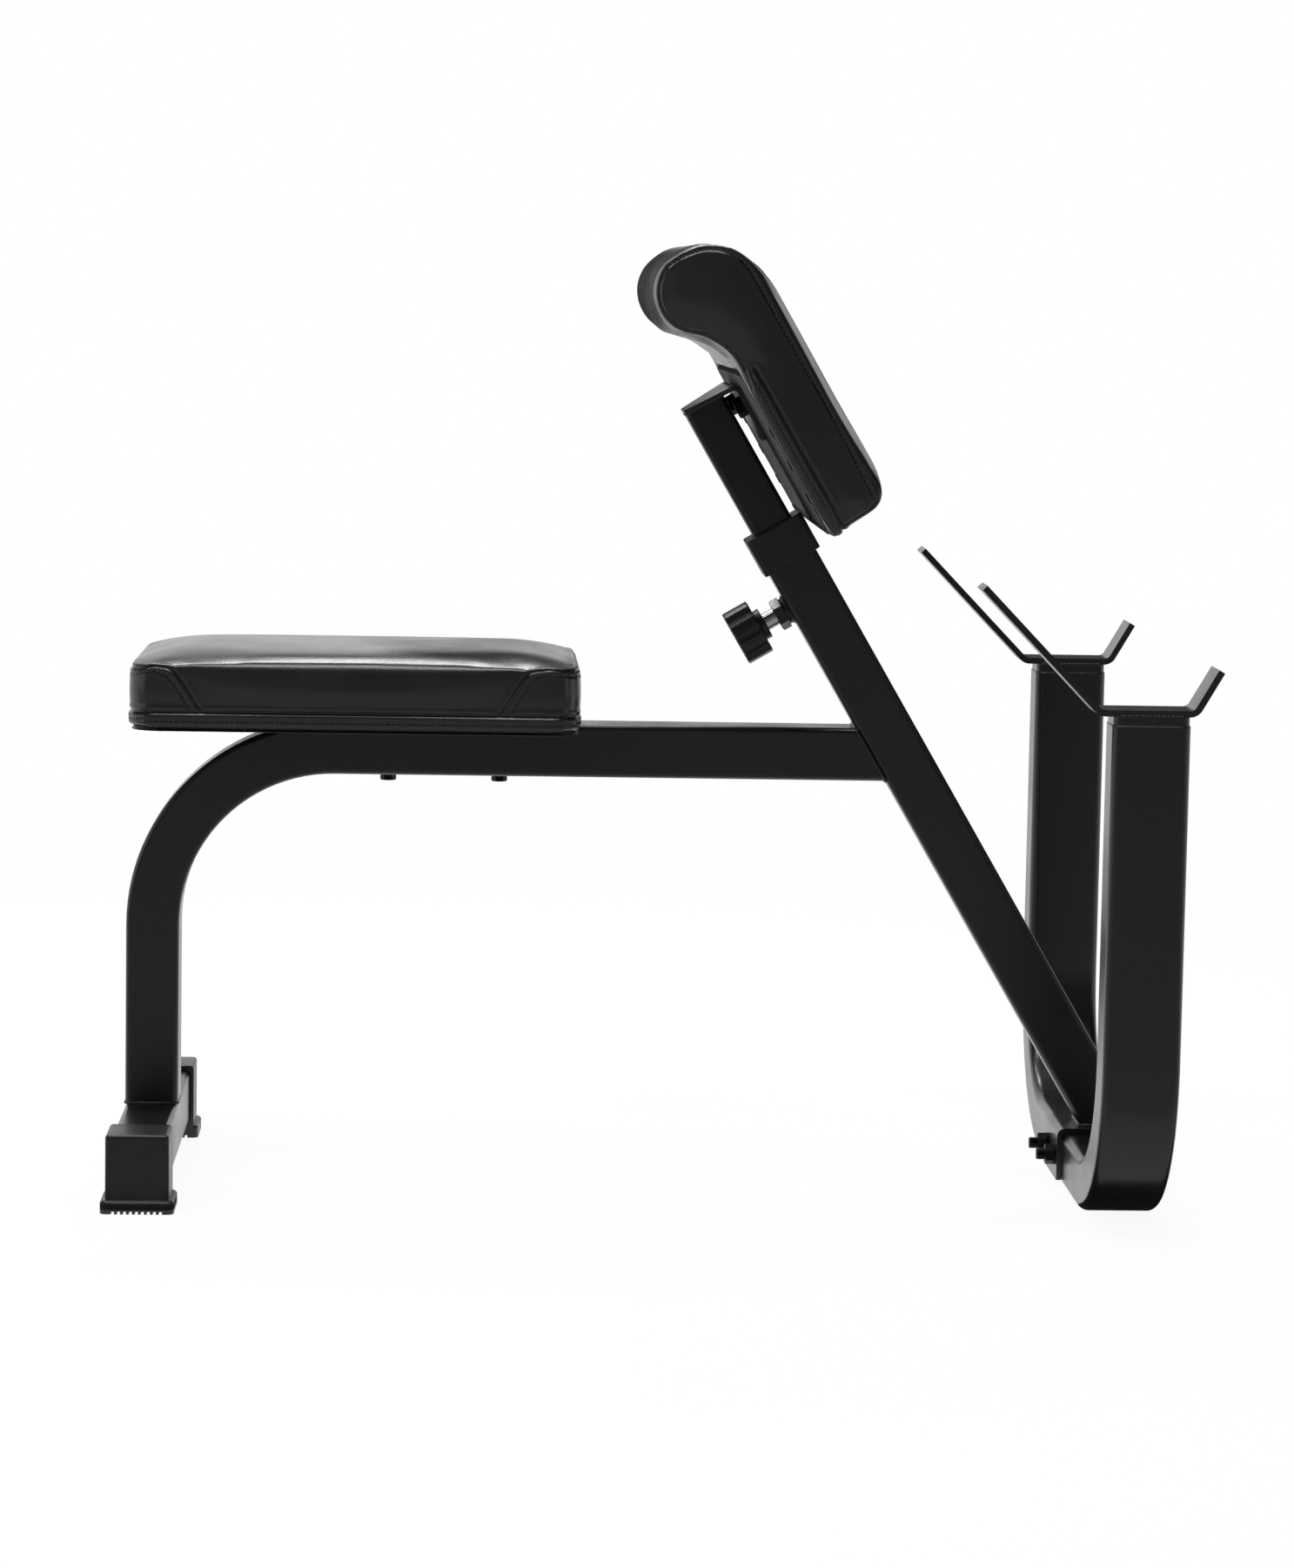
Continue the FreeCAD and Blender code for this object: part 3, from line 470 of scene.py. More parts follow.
@dataclass(frozen=True)
class Finish:
    """A surface: two colours that it varies between, its gloss and its relief. Lengths are in mm."""

    name: str
    dark: str
    light: str
    rough_low: float
    rough_high: float
    patch: float
    grain: float
    relief: float
    metallic: float = 0.0
    specular: float = 0.5
    edge: float = 0.4
    edge_samples: int = 4
    patch_detail: float = 4.0
    patch_range: tuple[float, float] = (0.3, 0.7)
    grain_detail: float = 3.0

    @cache
    def make(self) -> Material:
        """Build the material, once for all pieces that wear it.

        Returns:
            The finished material.
        """
        material, tree = fresh_tree(self.name)
        place = add_node(tree, "TexCoord").outputs["Object"]
        patches = add_node(tree, "TexNoise", {"Scale": per_mm(self.patch), "Detail": self.patch_detail},
                           {"Vector": place}).outputs["Fac"]
        on = Surface(tree, place, patches)
        shader = add_node(tree, "BsdfPrincipled",
                          {"Metallic": self.metallic, "Specular IOR Level": self.specular},
                          {"Base Color": self.tint(on), "Roughness": self.gloss(on), "Normal": self.bump(on)})
        add_node(tree, "OutputMaterial", links={"Surface": shader.outputs[0]})
        return material

    def tint(self, on: Surface) -> NodeSocket:
        """Colour that drifts between the two tones in large patches."""
        tones = {"data_type": "RGBA", 6: linear(self.dark), 7: linear(self.light)}
        return add_node(on.tree, "Mix", tones, {0: on.patches}).outputs[2]

    def gloss(self, on: Surface) -> NodeSocket:
        """Roughness that follows the same patches."""
        ends = {"From Min": self.patch_range[0], "From Max": self.patch_range[1],
                "To Min": self.rough_low, "To Max": self.rough_high}
        return add_node(on.tree, "MapRange", ends, {"Value": on.patches}).outputs[0]

    def height(self, on: Surface) -> NodeSocket:
        """Relief of the surface, from 0 to 1."""
        return add_node(on.tree, "TexNoise", {"Scale": per_mm(self.grain), "Detail": self.grain_detail},
                        {"Vector": on.place}).outputs["Fac"]

    def bump(self, on: Surface) -> NodeSocket:
        """Bend the normal by the relief, on edges that the finish rounds if it rounds any.

        Args:
            on: What the finish is drawn on.

        Returns:
            The bent normal.
        """
        links = {"Height": self.height(on)}
        if self.edge:
            rounding = {"samples": self.edge_samples, "Radius": self.edge * MM}
            links["Normal"] = add_node(on.tree, "Bevel", rounding).outputs[0]
        return add_node(on.tree, "Bump", {"Strength": 1.0, "Distance": self.relief * MM}, links).outputs[0]


@dataclass(frozen=True)
class PowderCoat(Finish):
    """Polyester powder, sprayed on steel and melted: satin, with a soft orange peel and rounded edges."""

    # Paler edge colour: partly worn and thinner coat, partly a painted highlight along edges
    rubbed_and_sheen: str = "#2a2a2b"
    thin_and_sheen_from: float = 0.98
    thin_and_sheen_to: float = 0.8
    thin_and_sheen_share: float = 0.6

    def tint(self, on: Surface) -> NodeSocket:
        """Colour of sharp edges made paler: partly the thinner, worn coat there, partly a painted highlight.

        Args:
            on: What the finish is drawn on.

        Returns:
            The colour.
        """
        rounding = {"samples": self.edge_samples, "Radius": self.edge * MM}
        rounded = add_node(on.tree, "Bevel", rounding).outputs[0]
        flat = add_node(on.tree, "NewGeometry").outputs["Normal"]
        turned = add_node(on.tree, "VectorMath", {"operation": "DOT_PRODUCT"},
                          {0: rounded, 1: flat}).outputs["Value"]
        ends = {"From Min": self.thin_and_sheen_from, "From Max": self.thin_and_sheen_to, "To Max": self.thin_and_sheen_share}
        thin_and_sheen = add_node(on.tree, "MapRange", ends, {"Value": turned}).outputs[0]
        return add_node(on.tree, "Mix", {"data_type": "RGBA", 7: linear(self.rubbed_and_sheen)},
                        {0: thin_and_sheen, 6: super().tint(on)}).outputs[2]


@dataclass(frozen=True)
class Vinyl(Finish):
    """Cloth coated with PVC and embossed by a roller: pebbles with fine valleys, and painted shade in the
    seams.
    """

    # Colour of the painted shade in the seams' grooves
    sewn: str = "#040404"
    wander: float = 3.0
    wander_detail: float = 2.0
    rounding: float = 0.35
    ripple: float = 26.0
    ripple_detail: float = 1.0
    ripple_share: float = 4.0

    def tint(self, on: Surface) -> NodeSocket:
        """Colour with painted shade where the cover is drawn into a seam."""
        seam_shade_mask = add_node(on.tree, "Attribute", {"attribute_name": SEAM_SHADE_MARK}).outputs["Fac"]
        return add_node(on.tree, "Mix", {"data_type": "RGBA", 7: linear(self.sewn)},
                        {0: seam_shade_mask, 6: super().tint(on)}).outputs[2]

    def height(self, on: Surface) -> NodeSocket:
        """Pebbles on a slow ripple of the foam under them.

        Args:
            on: What the finish is drawn on.

        Returns:
            The height.
        """
        tree, place = on.tree, on.place
        drifts = {"Scale": per_mm(self.grain * self.wander), "Detail": self.wander_detail}
        wander = add_node(tree, "TexNoise", drifts, {"Vector": place}).outputs["Color"]
        drift = add_node(tree, "VectorMath", {"operation": "SCALE", "Scale": self.grain * MM},
                         {0: wander}).outputs[0]
        moved = add_node(tree, "VectorMath", {"operation": "ADD"}, {0: place, 1: drift}).outputs[0]
        pebbles = {"feature": "SMOOTH_F1", "Scale": per_mm(self.grain), "Smoothness": self.rounding}
        pebble = add_node(tree, "TexVoronoi", pebbles, {"Vector": moved}).outputs["Distance"]
        swell = add_node(tree, "TexNoise", {"Scale": per_mm(self.ripple), "Detail": self.ripple_detail},
                         {"Vector": place}).outputs["Fac"]
        return add_node(tree, "Math", {"operation": "MULTIPLY_ADD", 1: self.ripple_share},
                        {0: swell, 2: pebble}).outputs[0]


@dataclass(frozen=True)
class TurnedSteel(Finish):
    """Steel turned on a lathe and chromed: bright, with rings about two grains wide round its axis."""

    lean: float = POST_LEAN
    ring_scale: float = 6.28
    waver: float = 0.6

    def height(self, on: Surface) -> NodeSocket:
        """Rings across the pin's axis."""
        turned = add_node(on.tree, "Mapping", {"Rotation": (0.0, math.radians(self.lean), 0.0)},
                          {"Vector": on.place}).outputs[0]
        return add_node(on.tree, "TexWave", {"bands_direction": "X", "Distortion": self.waver,
                                             "Scale": per_mm(self.grain) / self.ring_scale},
                        {"Vector": turned}).outputs["Fac"]


@dataclass(frozen=True)
class StainedPly(Finish):
    """Birch plywood, stained black: open grain along the board."""

    grain_detail: float = 5.0
    stretch: float = 0.06

    def height(self, on: Surface) -> NodeSocket:
        """Long pores of the face veneer."""
        drawn = add_node(on.tree, "Mapping", {"Scale": (1.0, self.stretch, 1.0)},
                         {"Vector": on.place}).outputs[0]
        return super().height(Surface(on.tree, drawn, on.patches))


# Patterns finer than about 1.5 mm are drawn that coarse, so that they show in a render. The thread's
# twist is the only finer one, since a whole stitch is hardly larger.
# Polyester powder coat, sprayed and baked: satin black with a faint orange peel.
POWDER_COAT = PowderCoat("powder_coat_satin_black", "#0a0a0a", "#0f0f10", 0.24, 0.32, 90.0, 2.4, 0.02,
                         specular=0.6, edge=0.9)
# PVC on a knitted back, embossed by a roller: small pebbles with a soft sheen and no hard edge.
PVC_VINYL = Vinyl("pvc_vinyl_black", "#171718", "#1d1d1e", 0.22, 0.3, 60.0, 1.8, 0.05,
                  specular=0.55, edge=0.0)
# Polypropylene from a spark-eroded mould: even, dull and a little greyer than the coat.
POLYPROPYLENE = Finish("polypropylene_moulded_black", "#0d0d0e", "#141414", 0.34, 0.42, 30.0, 1.5, 0.005,
                       edge=2.2)
# Steel in black oxide, dipped and oiled: dark metal with cloudy gloss.
BLACK_OXIDE = Finish("steel_black_oxide", "#1a1919", "#272626", 0.45, 0.55, 9.0, 1.5, 0.004, metallic=1.0)
# Chromed steel, turned on a lathe: bright, with fine rings.
CHROME = TurnedSteel("steel_turned_chrome", "#c4c5c8", "#dcdde0", 0.2, 0.3, 8.0, 1.5, 0.012, metallic=1.0)
# Birch plywood under a black stain: matt, with open pores along the board.
PLYWOOD = StainedPly("plywood_birch_black_stain", "#14120f", "#211e1a", 0.6, 0.75, 40.0, 1.5, 0.06)
# Bonded polyester thread, twisted: dull, and paler than the cover, partly its own tone and partly a painted
# glint.
THREAD = Finish("polyester_thread_black", "#29292c", "#3a3a3e", 0.45, 0.6, 5.0, 0.7, 0.08)

FINISH_OF_SLOT = {
    Slot.PAINT: POWDER_COAT,
    Slot.PLASTIC: POLYPROPYLENE,
    Slot.UPHOLSTERY: PVC_VINYL,
    Slot.BOARD: PLYWOOD,
    Slot.FASTENER: BLACK_OXIDE,
    Slot.CHROME: CHROME,
}


def dress_cad(nodes: dict[str, Object]) -> None:
    """Give every CAD node the finish of its slot.

    Args:
        nodes: CAD nodes by name.
    """
    for name, node in nodes.items():
        for place in node.material_slots:
            slot = Slot(place.material.name.split(".")[0])
            place.material = FINISH_OF_SLOT[slot].make()
            LOG.info("%s: CAD node in %s", name, place.material.name)


def hand_over(obj: Object, body: Body, slot: Slot, finish: Finish) -> None:
    """Dress a finished piece and set it on its body.

    Args:
        obj: The piece, in place.
        body: Body that it rides on.
        slot: The record's material slot; not used.
        finish: What it wears.
    """
    obj.data.materials.clear()
    obj.data.materials.append(finish.make())
    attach(obj, body.value)
    LOG.info("%s: %d faces on %s", obj.name, len(obj.data.polygons), body.value)


# Cushions

@dataclass
class Seam:
    """A sewn line on a cushion, in the cushion's own frame and in mm."""

    line: np.ndarray
    closed: bool
    depth: float
    width: float
    stitched: bool = True


@dataclass
class Cushion:
    """Foam in a sewn cover, swollen from its CAD solid and drawn in at its seams. Lengths are in mm."""

    name: str
    node: str
    body: Body
    fill: float
    weld_gap: float = 0.02
    voxel: float = 4.0
    blank_passes: int = 2
    slack: float = 1.5
    pressure: float = 5.0
    swell: float = 3.2
    steps: int = 20
    held_reach: float = 4.5
    settle_passes: int = 5
    taut_passes: int = 40
    refine_reach: float = 6.0
    shoulder: float = 0.3
    shoulder_at: float = 2.4
    # Groove depth at which the painted shade in a seam is full, in mm
    seam_shade_depth: float = 1.2
    stitch_pitch: float = 4.6
    stitch_size: tuple[float, float, float] = (3.4, 1.0, 0.8)
    stitch_tail: float = 0.3
    stitch_dip: float = 0.45
    stitch_lift: float = 0.25
    stitch_margin: int = 2
    hem_width: float = 15.0
    hem_thick: float = 0.5
    hem_round: float = 0.2
    staple_pitch: float = 32.0
    staple_size: tuple[float, float, float] = (10.0, 1.2, 0.9)
    staple_round: float = 0.35
    staple_lift: float = 0.3

    def place(self) -> Matrix:
        """Matrix from the cushion's own frame to the bench's, in metres."""
        raise NotImplementedError

    def seams(self) -> list[Seam]:
        """Sewn lines of the cover."""
        raise NotImplementedError

    def backed(self, points: np.ndarray) -> np.ndarray:
        """Mask of points that the board holds, from points in mm."""
        raise NotImplementedError

    def filled(self, points: np.ndarray) -> np.ndarray:
        """Extra foam at each point, in mm, from points in mm."""
        raise NotImplementedError

    def taut(self, normals: np.ndarray) -> np.ndarray:
        """Mask of points where the cover is drawn so tight that no crease stays, from their normals."""
        return np.zeros(len(normals), bool)

    def hem(self) -> tuple[Object, np.ndarray, Vector]:
        """Strip of cover folded behind the board, with its staples' line and outward direction."""
        raise NotImplementedError

    def blank(self, solid: Object) -> Object:
        """Even skin over the CAD solid, in the cushion's own frame.

        Args:
            solid: The CAD node.

        Returns:
            The new object.
        """
        mesh = solid.data.copy()
        mesh.name = self.name
        mesh.materials.clear()
        mesh.transform(self.place().inverted())
        pad = new_object(self.name, mesh)
        with editing(pad):
            bpy.ops.mesh.customdata_custom_splitnormals_clear()
            bpy.ops.mesh.remove_doubles(threshold=self.weld_gap * MM)
        finish_with(pad, "REMESH", mode="VOXEL", voxel_size=self.voxel * MM)
        relax(pad, self.blank_passes)
        return pad

    def inflate(self, pad: Object, seams: Sequence[Seam]) -> None:
        """Let the cover swell between the seams and the board by a cloth simulation.

        Args:
            pad: The skin.
            seams: Lines that stay where they are.
        """
        start = points_of(pad)
        board = self.backed(start / MM)
        fill = self.filled(start / MM) - self.slack * ~board
        start += normals_of(pad) * (fill * MM)[:, None]
        put_points(pad, start)
        sewn = np.vstack([seam.line for seam in seams]) * MM
        held = board | (nearest(sewn, start)[0] < self.held_reach * MM)
        group = pad.vertex_groups.new(name="held")
        group.add(np.flatnonzero(held).tolist(), 1.0, "REPLACE")
        cloth = pad.modifiers.new("cover", "CLOTH")
        cloth.settings.vertex_group_mass = group.name
        cloth.settings.use_pressure = True
        cloth.settings.uniform_pressure_force = self.pressure
        cloth.settings.effector_weights.gravity = 0
        cloth.collision_settings.use_collision = False
        cloth.point_cache.frame_end = self.steps
        for step in range(1, self.steps + 1):
            bpy.context.scene.frame_set(step)
        activate(pad)
        bpy.ops.object.modifier_apply(modifier=cloth.name)
        bpy.context.scene.frame_set(1)
        pad.vertex_groups.clear()
        move = points_of(pad) - start
        size = np.linalg.norm(move, axis=1, keepdims=True)
        LOG.info("%s: cover moved %.1f mm at most", self.name, size.max() / MM)
        put_points(pad, start + move * np.minimum(1, self.swell * MM / np.maximum(size, TINY)))
        relax(pad, self.settle_passes)
        taut = self.taut(normals_of(pad))
        if taut.any():
            with editing(pad):
                pick(pad, Kind.VERT, taut)
                bpy.ops.mesh.vertices_smooth(factor=SMOOTHING, repeat=self.taut_passes)

    def sew(self, pad: Object, seams: Sequence[Seam]) -> list[np.ndarray]:
        """Press the groove of each seam into the skin and store there how much painted shade it gets.

        Args:
            pad: The swollen skin.
            seams: Lines to sew.

        Returns:
            The lines as they lie on the skin, in metres.
        """
        lines = [laid_on(pad, seam.line * MM) for seam in seams]
        every = np.vstack(lines)
        near = nearest(every, face_middles(pad))[0] < self.refine_reach * MM
        with editing(pad):
            pick(pad, Kind.FACE, near)
            bpy.ops.mesh.subdivide(number_cuts=1)
        counts = [len(line) for line in lines]
        depth = np.repeat([seam.depth * MM for seam in seams], counts)
        width = np.repeat([seam.width * MM for seam in seams], counts)
        points = points_of(pad)
        away, which = nearest(every, points)
        reach = away / width[which]
        valley = np.exp(-reach ** 2)
        shoulder = self.shoulder * np.exp(-(reach - self.shoulder_at) ** 2)
        put_points(pad, points - normals_of(pad) * (depth[which] * (valley - shoulder))[:, None])
        # Painted shade along each groove, darkest where the groove is deepest
        seam_shade_layer = pad.data.attributes.new(SEAM_SHADE_MARK, "FLOAT", "POINT")
        seam_shade_strength = np.minimum(1, depth[which] / (self.seam_shade_depth * MM))
        seam_shade_layer.data.foreach_set("value", (valley * seam_shade_strength).astype(np.float32))
        return [laid_on(pad, line) for line in lines]

    def stitch(self, pad: Object, seams: Sequence[Seam], lines: Sequence[np.ndarray]) -> Object:
        """Thread that shows along the stitched seams.

        Args:
            pad: The sewn skin.
            seams: Seams of the cover.
            lines: Their lines on the skin.

        Returns:
            The stitches as one object.
        """
        bpy.ops.mesh.primitive_uv_sphere_add(segments=8, ring_count=6, radius=0.5)
        one = last_made("stitch")
        with editing(one):
            bpy.ops.transform.rotate(value=math.pi / 2, orient_axis="Y", center_override=(0, 0, 0))
            bpy.ops.transform.resize(value=tuple(s * MM for s in self.stitch_size))
        ends = np.abs(points_of(one)[:, 0]) > self.stitch_tail * self.stitch_size[0] * MM
        with editing(one):
            pick(one, Kind.VERT, ends)
            bpy.ops.transform.translate(value=(0, 0, -self.stitch_dip * MM))
        tree = skin_tree(pad)
        places = []
        for seam, line in zip(seams, lines):
            if not seam.stitched:
                continue
            sewn = line if seam.closed else line[self.stitch_margin:-self.stitch_margin]
            row = even_line(sewn, self.stitch_pitch * MM, seam.closed, smooth=False)
            for before, here, after in zip(row, row[1:], row[2:]):
                spot, up, _, _ = tree.find_nearest(Vector(here))
                places.append(frame_at(spot + up * self.stitch_lift * MM, after - before, up))
        return scatter(self.name + "_stitches", one, places)

    def folded(self, length: float, width: float, corner: float, corner_segments: int) -> Object:
        """Flat frame of cover about the origin, as wide as the hem.

        Args:
            length: Outer size along X.
            width: Outer size along Y.
            corner: Radius of its outer corners.
            corner_segments: Edges round each corner.

        Returns:
            The strip, still without thickness.
        """
        bpy.ops.mesh.primitive_plane_add(size=1)
        strip = last_made(self.name + "_hem")
        with editing(strip):
            bpy.ops.transform.resize(value=(length * MM, width * MM, 1))
            bpy.ops.mesh.bevel(offset=corner * MM, segments=corner_segments, affect="VERTICES")
            bpy.ops.mesh.inset(thickness=self.hem_width * MM)
            bpy.ops.mesh.delete(type="FACE")
        return strip

    def thicken(self, strip: Object, side: float) -> None:
        """Give the hem its thickness, on one side of its plane, and round its edges."""
        finish_with(strip, "SOLIDIFY", thickness=self.hem_thick * MM, offset=side)
        finish_with(strip, "BEVEL", width=self.hem_round * MM, segments=2, limit_method="ANGLE")

    def staple(self, line: np.ndarray, out: Vector) -> Object:
        """Staples along the hem.

        Args:
            line: Open line in the middle of the hem, in mm.
            out: Direction away from the board.

        Returns:
            The staples as one object.
        """
        bpy.ops.mesh.primitive_cube_add(size=1)
        one = last_made("staple")
        with editing(one):
            bpy.ops.transform.resize(value=tuple(s * MM for s in self.staple_size))
            bpy.ops.mesh.bevel(offset=self.staple_round * MM, segments=2, affect="EDGES")
        row = even_line(line, self.staple_pitch, smooth=False) * MM
        places = []
        for before, here, after in zip(row, row[1:], row[2:]):
            spot = Vector(here) + out * (self.hem_thick + self.staple_lift) * MM
            places.append(frame_at(spot, after - before, out))
        return scatter(self.name + "_staples", one, places)

    def build(self, nodes: dict[str, Object]) -> None:
        """Make the cushion with its thread, hem and staples.

        Args:
            nodes: CAD nodes by name.
        """
        seams = self.seams()
        pad = self.blank(nodes[self.node])
        self.inflate(pad, seams)
        finish_with(pad, "SUBSURF", levels=1, render_levels=1)
        lines = self.sew(pad, seams)
        soften(pad)
        stitches = self.stitch(pad, seams, lines)
        hem, row, out = self.hem()
        staples = self.staple(row, out)
        for piece, slot, finish in ((pad, Slot.UPHOLSTERY, PVC_VINYL), (stitches, Slot.UPHOLSTERY, THREAD),
                                    (hem, Slot.UPHOLSTERY, PVC_VINYL), (staples, Slot.FASTENER, BLACK_OXIDE)):
            piece.data.transform(self.place())
            hand_over(piece, self.body, slot, finish)
        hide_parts(self.node)


@dataclass
class SeatPad(Cushion):
    """Seat: a top that runs down its long sides, curved end panels and a band round its foot.

    The end panels' seams are points on the long side, as X and Z from the middle of the seat's foot.
    """

    middle: float = -274.049
    foot: float = 433.0
    length: float = 419.0
    width: float = 272.0
    corner: float = 28.0
    band: float = 17.5
    band_row: float = 9.5
    groove_gap: float = 2.0
    board_edge: float = 6.0
    row_gap: float = 7.0
    rear_seam: tuple[tuple[float, float], ...] = ((-138, 18), (-144, 24), (-160, 49), (-172, 59), (-186, 63),
                                                   (-198, 61))
    front_seam: tuple[tuple[float, float], ...] = ((131, 18), (137, 25), (153, 51), (164, 61), (178, 65),
                                                    (192, 64))
    rear_height: float = 58.0
    front_height: float = 62.0
    end_turns: tuple[float, ...] = (50, 70, 90)
    taut_slope: float = 0.85
    edge_at: tuple[float, float] = (6.0, 62.0)
    edge_fill: float = 3.4
    edge_reach: float = 9.0
    hem_inset: float = 8.0
    rail_half: float = 25.4
    rail_gap: float = 6.0

    def place(self) -> Matrix:
        """Seat's frame: origin under the middle of its foot."""
        return Matrix.Translation(Vector((self.middle, 0, self.foot)) * MM)

    def end_line(self, side: Sequence[tuple[float, float]], height: float, inward: float) -> np.ndarray:
        """Seam of an end panel: up one side, across the end and down the other side.

        Args:
            side: Points of the seam on the long side, as X and Z.
            height: Z of the seam across the end.
            inward: Distance of a second row towards the end panel.

        Returns:
            The line in mm.
        """
        half = self.width / 2
        way = math.copysign(1, side[0][0])
        rise = np.array(side, float)
        run = np.gradient(rise, axis=0)
        run /= np.linalg.norm(run, axis=1, keepdims=True)
        rise += inward * np.column_stack([way * np.abs(run[:, 1]), -np.abs(run[:, 0])])
        near = [(x, -half, z) for x, z in rise if z > self.band]
        end = way * self.length / 2
        bend = self.corner
        turn = [(end - way * bend * (1 - math.sin(t)), -half + bend * (1 - math.cos(t)), height - inward)
                for t in np.radians(self.end_turns)]
        across = [(end, y, height - inward) for y in (-half / 2, 0, half / 2)]
        far = [(x, -y, z) for x, y, z in reversed(near + turn)]
        return even_line(near + turn + across + far, FINE)

    def seams(self) -> list[Seam]:
        """The band's groove and stitched row, and two rows along each end panel.

        Returns:
            The seams.
        """
        loop = round_loop(self.length, self.width, self.corner)
        groove = even_line(loop + (0, 0, self.band), FINE, closed=True, smooth=False)
        row = even_line(loop + (0, 0, self.band_row), FINE, closed=True, smooth=False)
        made = [Seam(groove, closed=True, depth=1.9, width=1.7, stitched=False),
                Seam(row, closed=True, depth=0.7, width=1.1)]
        for side, height in ((self.rear_seam, self.rear_height), (self.front_seam, self.front_height)):
            joint = self.end_line(side, height, 0.0)
            beside = self.end_line(side, height, self.row_gap)
            made.append(Seam(joint, closed=False, depth=1.3, width=1.4, stitched=False))
            made.append(Seam(beside, closed=False, depth=0.7, width=1.1))
        return made

    def backed(self, points: np.ndarray) -> np.ndarray:
        """The band and the underside, which the board holds.

        Args:
            points: Points in mm.

        Returns:
            A mask of the points.
        """
        board = np.array((self.length, self.width)) / 2 - self.board_edge
        inside = (np.abs(points[:, :2]) < board).all(axis=1)
        return points[:, 2] < np.where(inside, self.band, self.band - self.groove_gap)

    def taut(self, normals: np.ndarray) -> np.ndarray:
        """The top, inside its rounded edge."""
        return normals[:, 2] > self.taut_slope

    def filled(self, points: np.ndarray) -> np.ndarray:
        """A fuller edge round the top.

        Args:
            points: Points in mm.

        Returns:
            Extra foam in mm.
        """
        flat = np.abs(points[:, :2]) - (self.length / 2 - self.corner, self.width / 2 - self.corner)
        inside = self.corner - np.where(flat.min(axis=1) > 0, np.linalg.norm(flat, axis=1), flat.max(axis=1))
        away = np.hypot(inside - self.edge_at[0], points[:, 2] - self.edge_at[1])
        return self.edge_fill * np.exp(-(away / self.edge_reach) ** 2)

    def hem(self) -> tuple[Object, np.ndarray, Vector]:
        """Cover folded under the board, left out where the rail carries the seat.

        Returns:
            The strip, the line of its staples in mm and the direction away from the board.
        """
        strip = self.folded(self.length - self.hem_inset, self.width - self.hem_inset, self.corner,
                            corner_segments=6)
        for side in (-1, 1):
            with editing(strip):
                bpy.ops.mesh.bisect(plane_co=(0, side * self.rail_half * MM, 0), plane_no=(0, 1, 0))
        middles = face_middles(strip)
        with editing(strip):
            pick(strip, Kind.FACE, (np.abs(middles[:, 1]) < self.rail_half * MM) & (middles[:, 0] > 0))
            bpy.ops.mesh.delete(type="FACE")
        self.thicken(strip, side=-1.0)
        inner = self.hem_inset + self.hem_width
        loop = round_loop(self.length - inner, self.width - inner, self.corner - inner / 4)
        row = even_line(loop, FINE, closed=True, smooth=False)
        rail = (np.abs(row[:, 1]) < self.rail_half + self.rail_gap) & (row[:, 0] > 0)
        return strip, opened(row, rail), Vector((0, 0, -1))


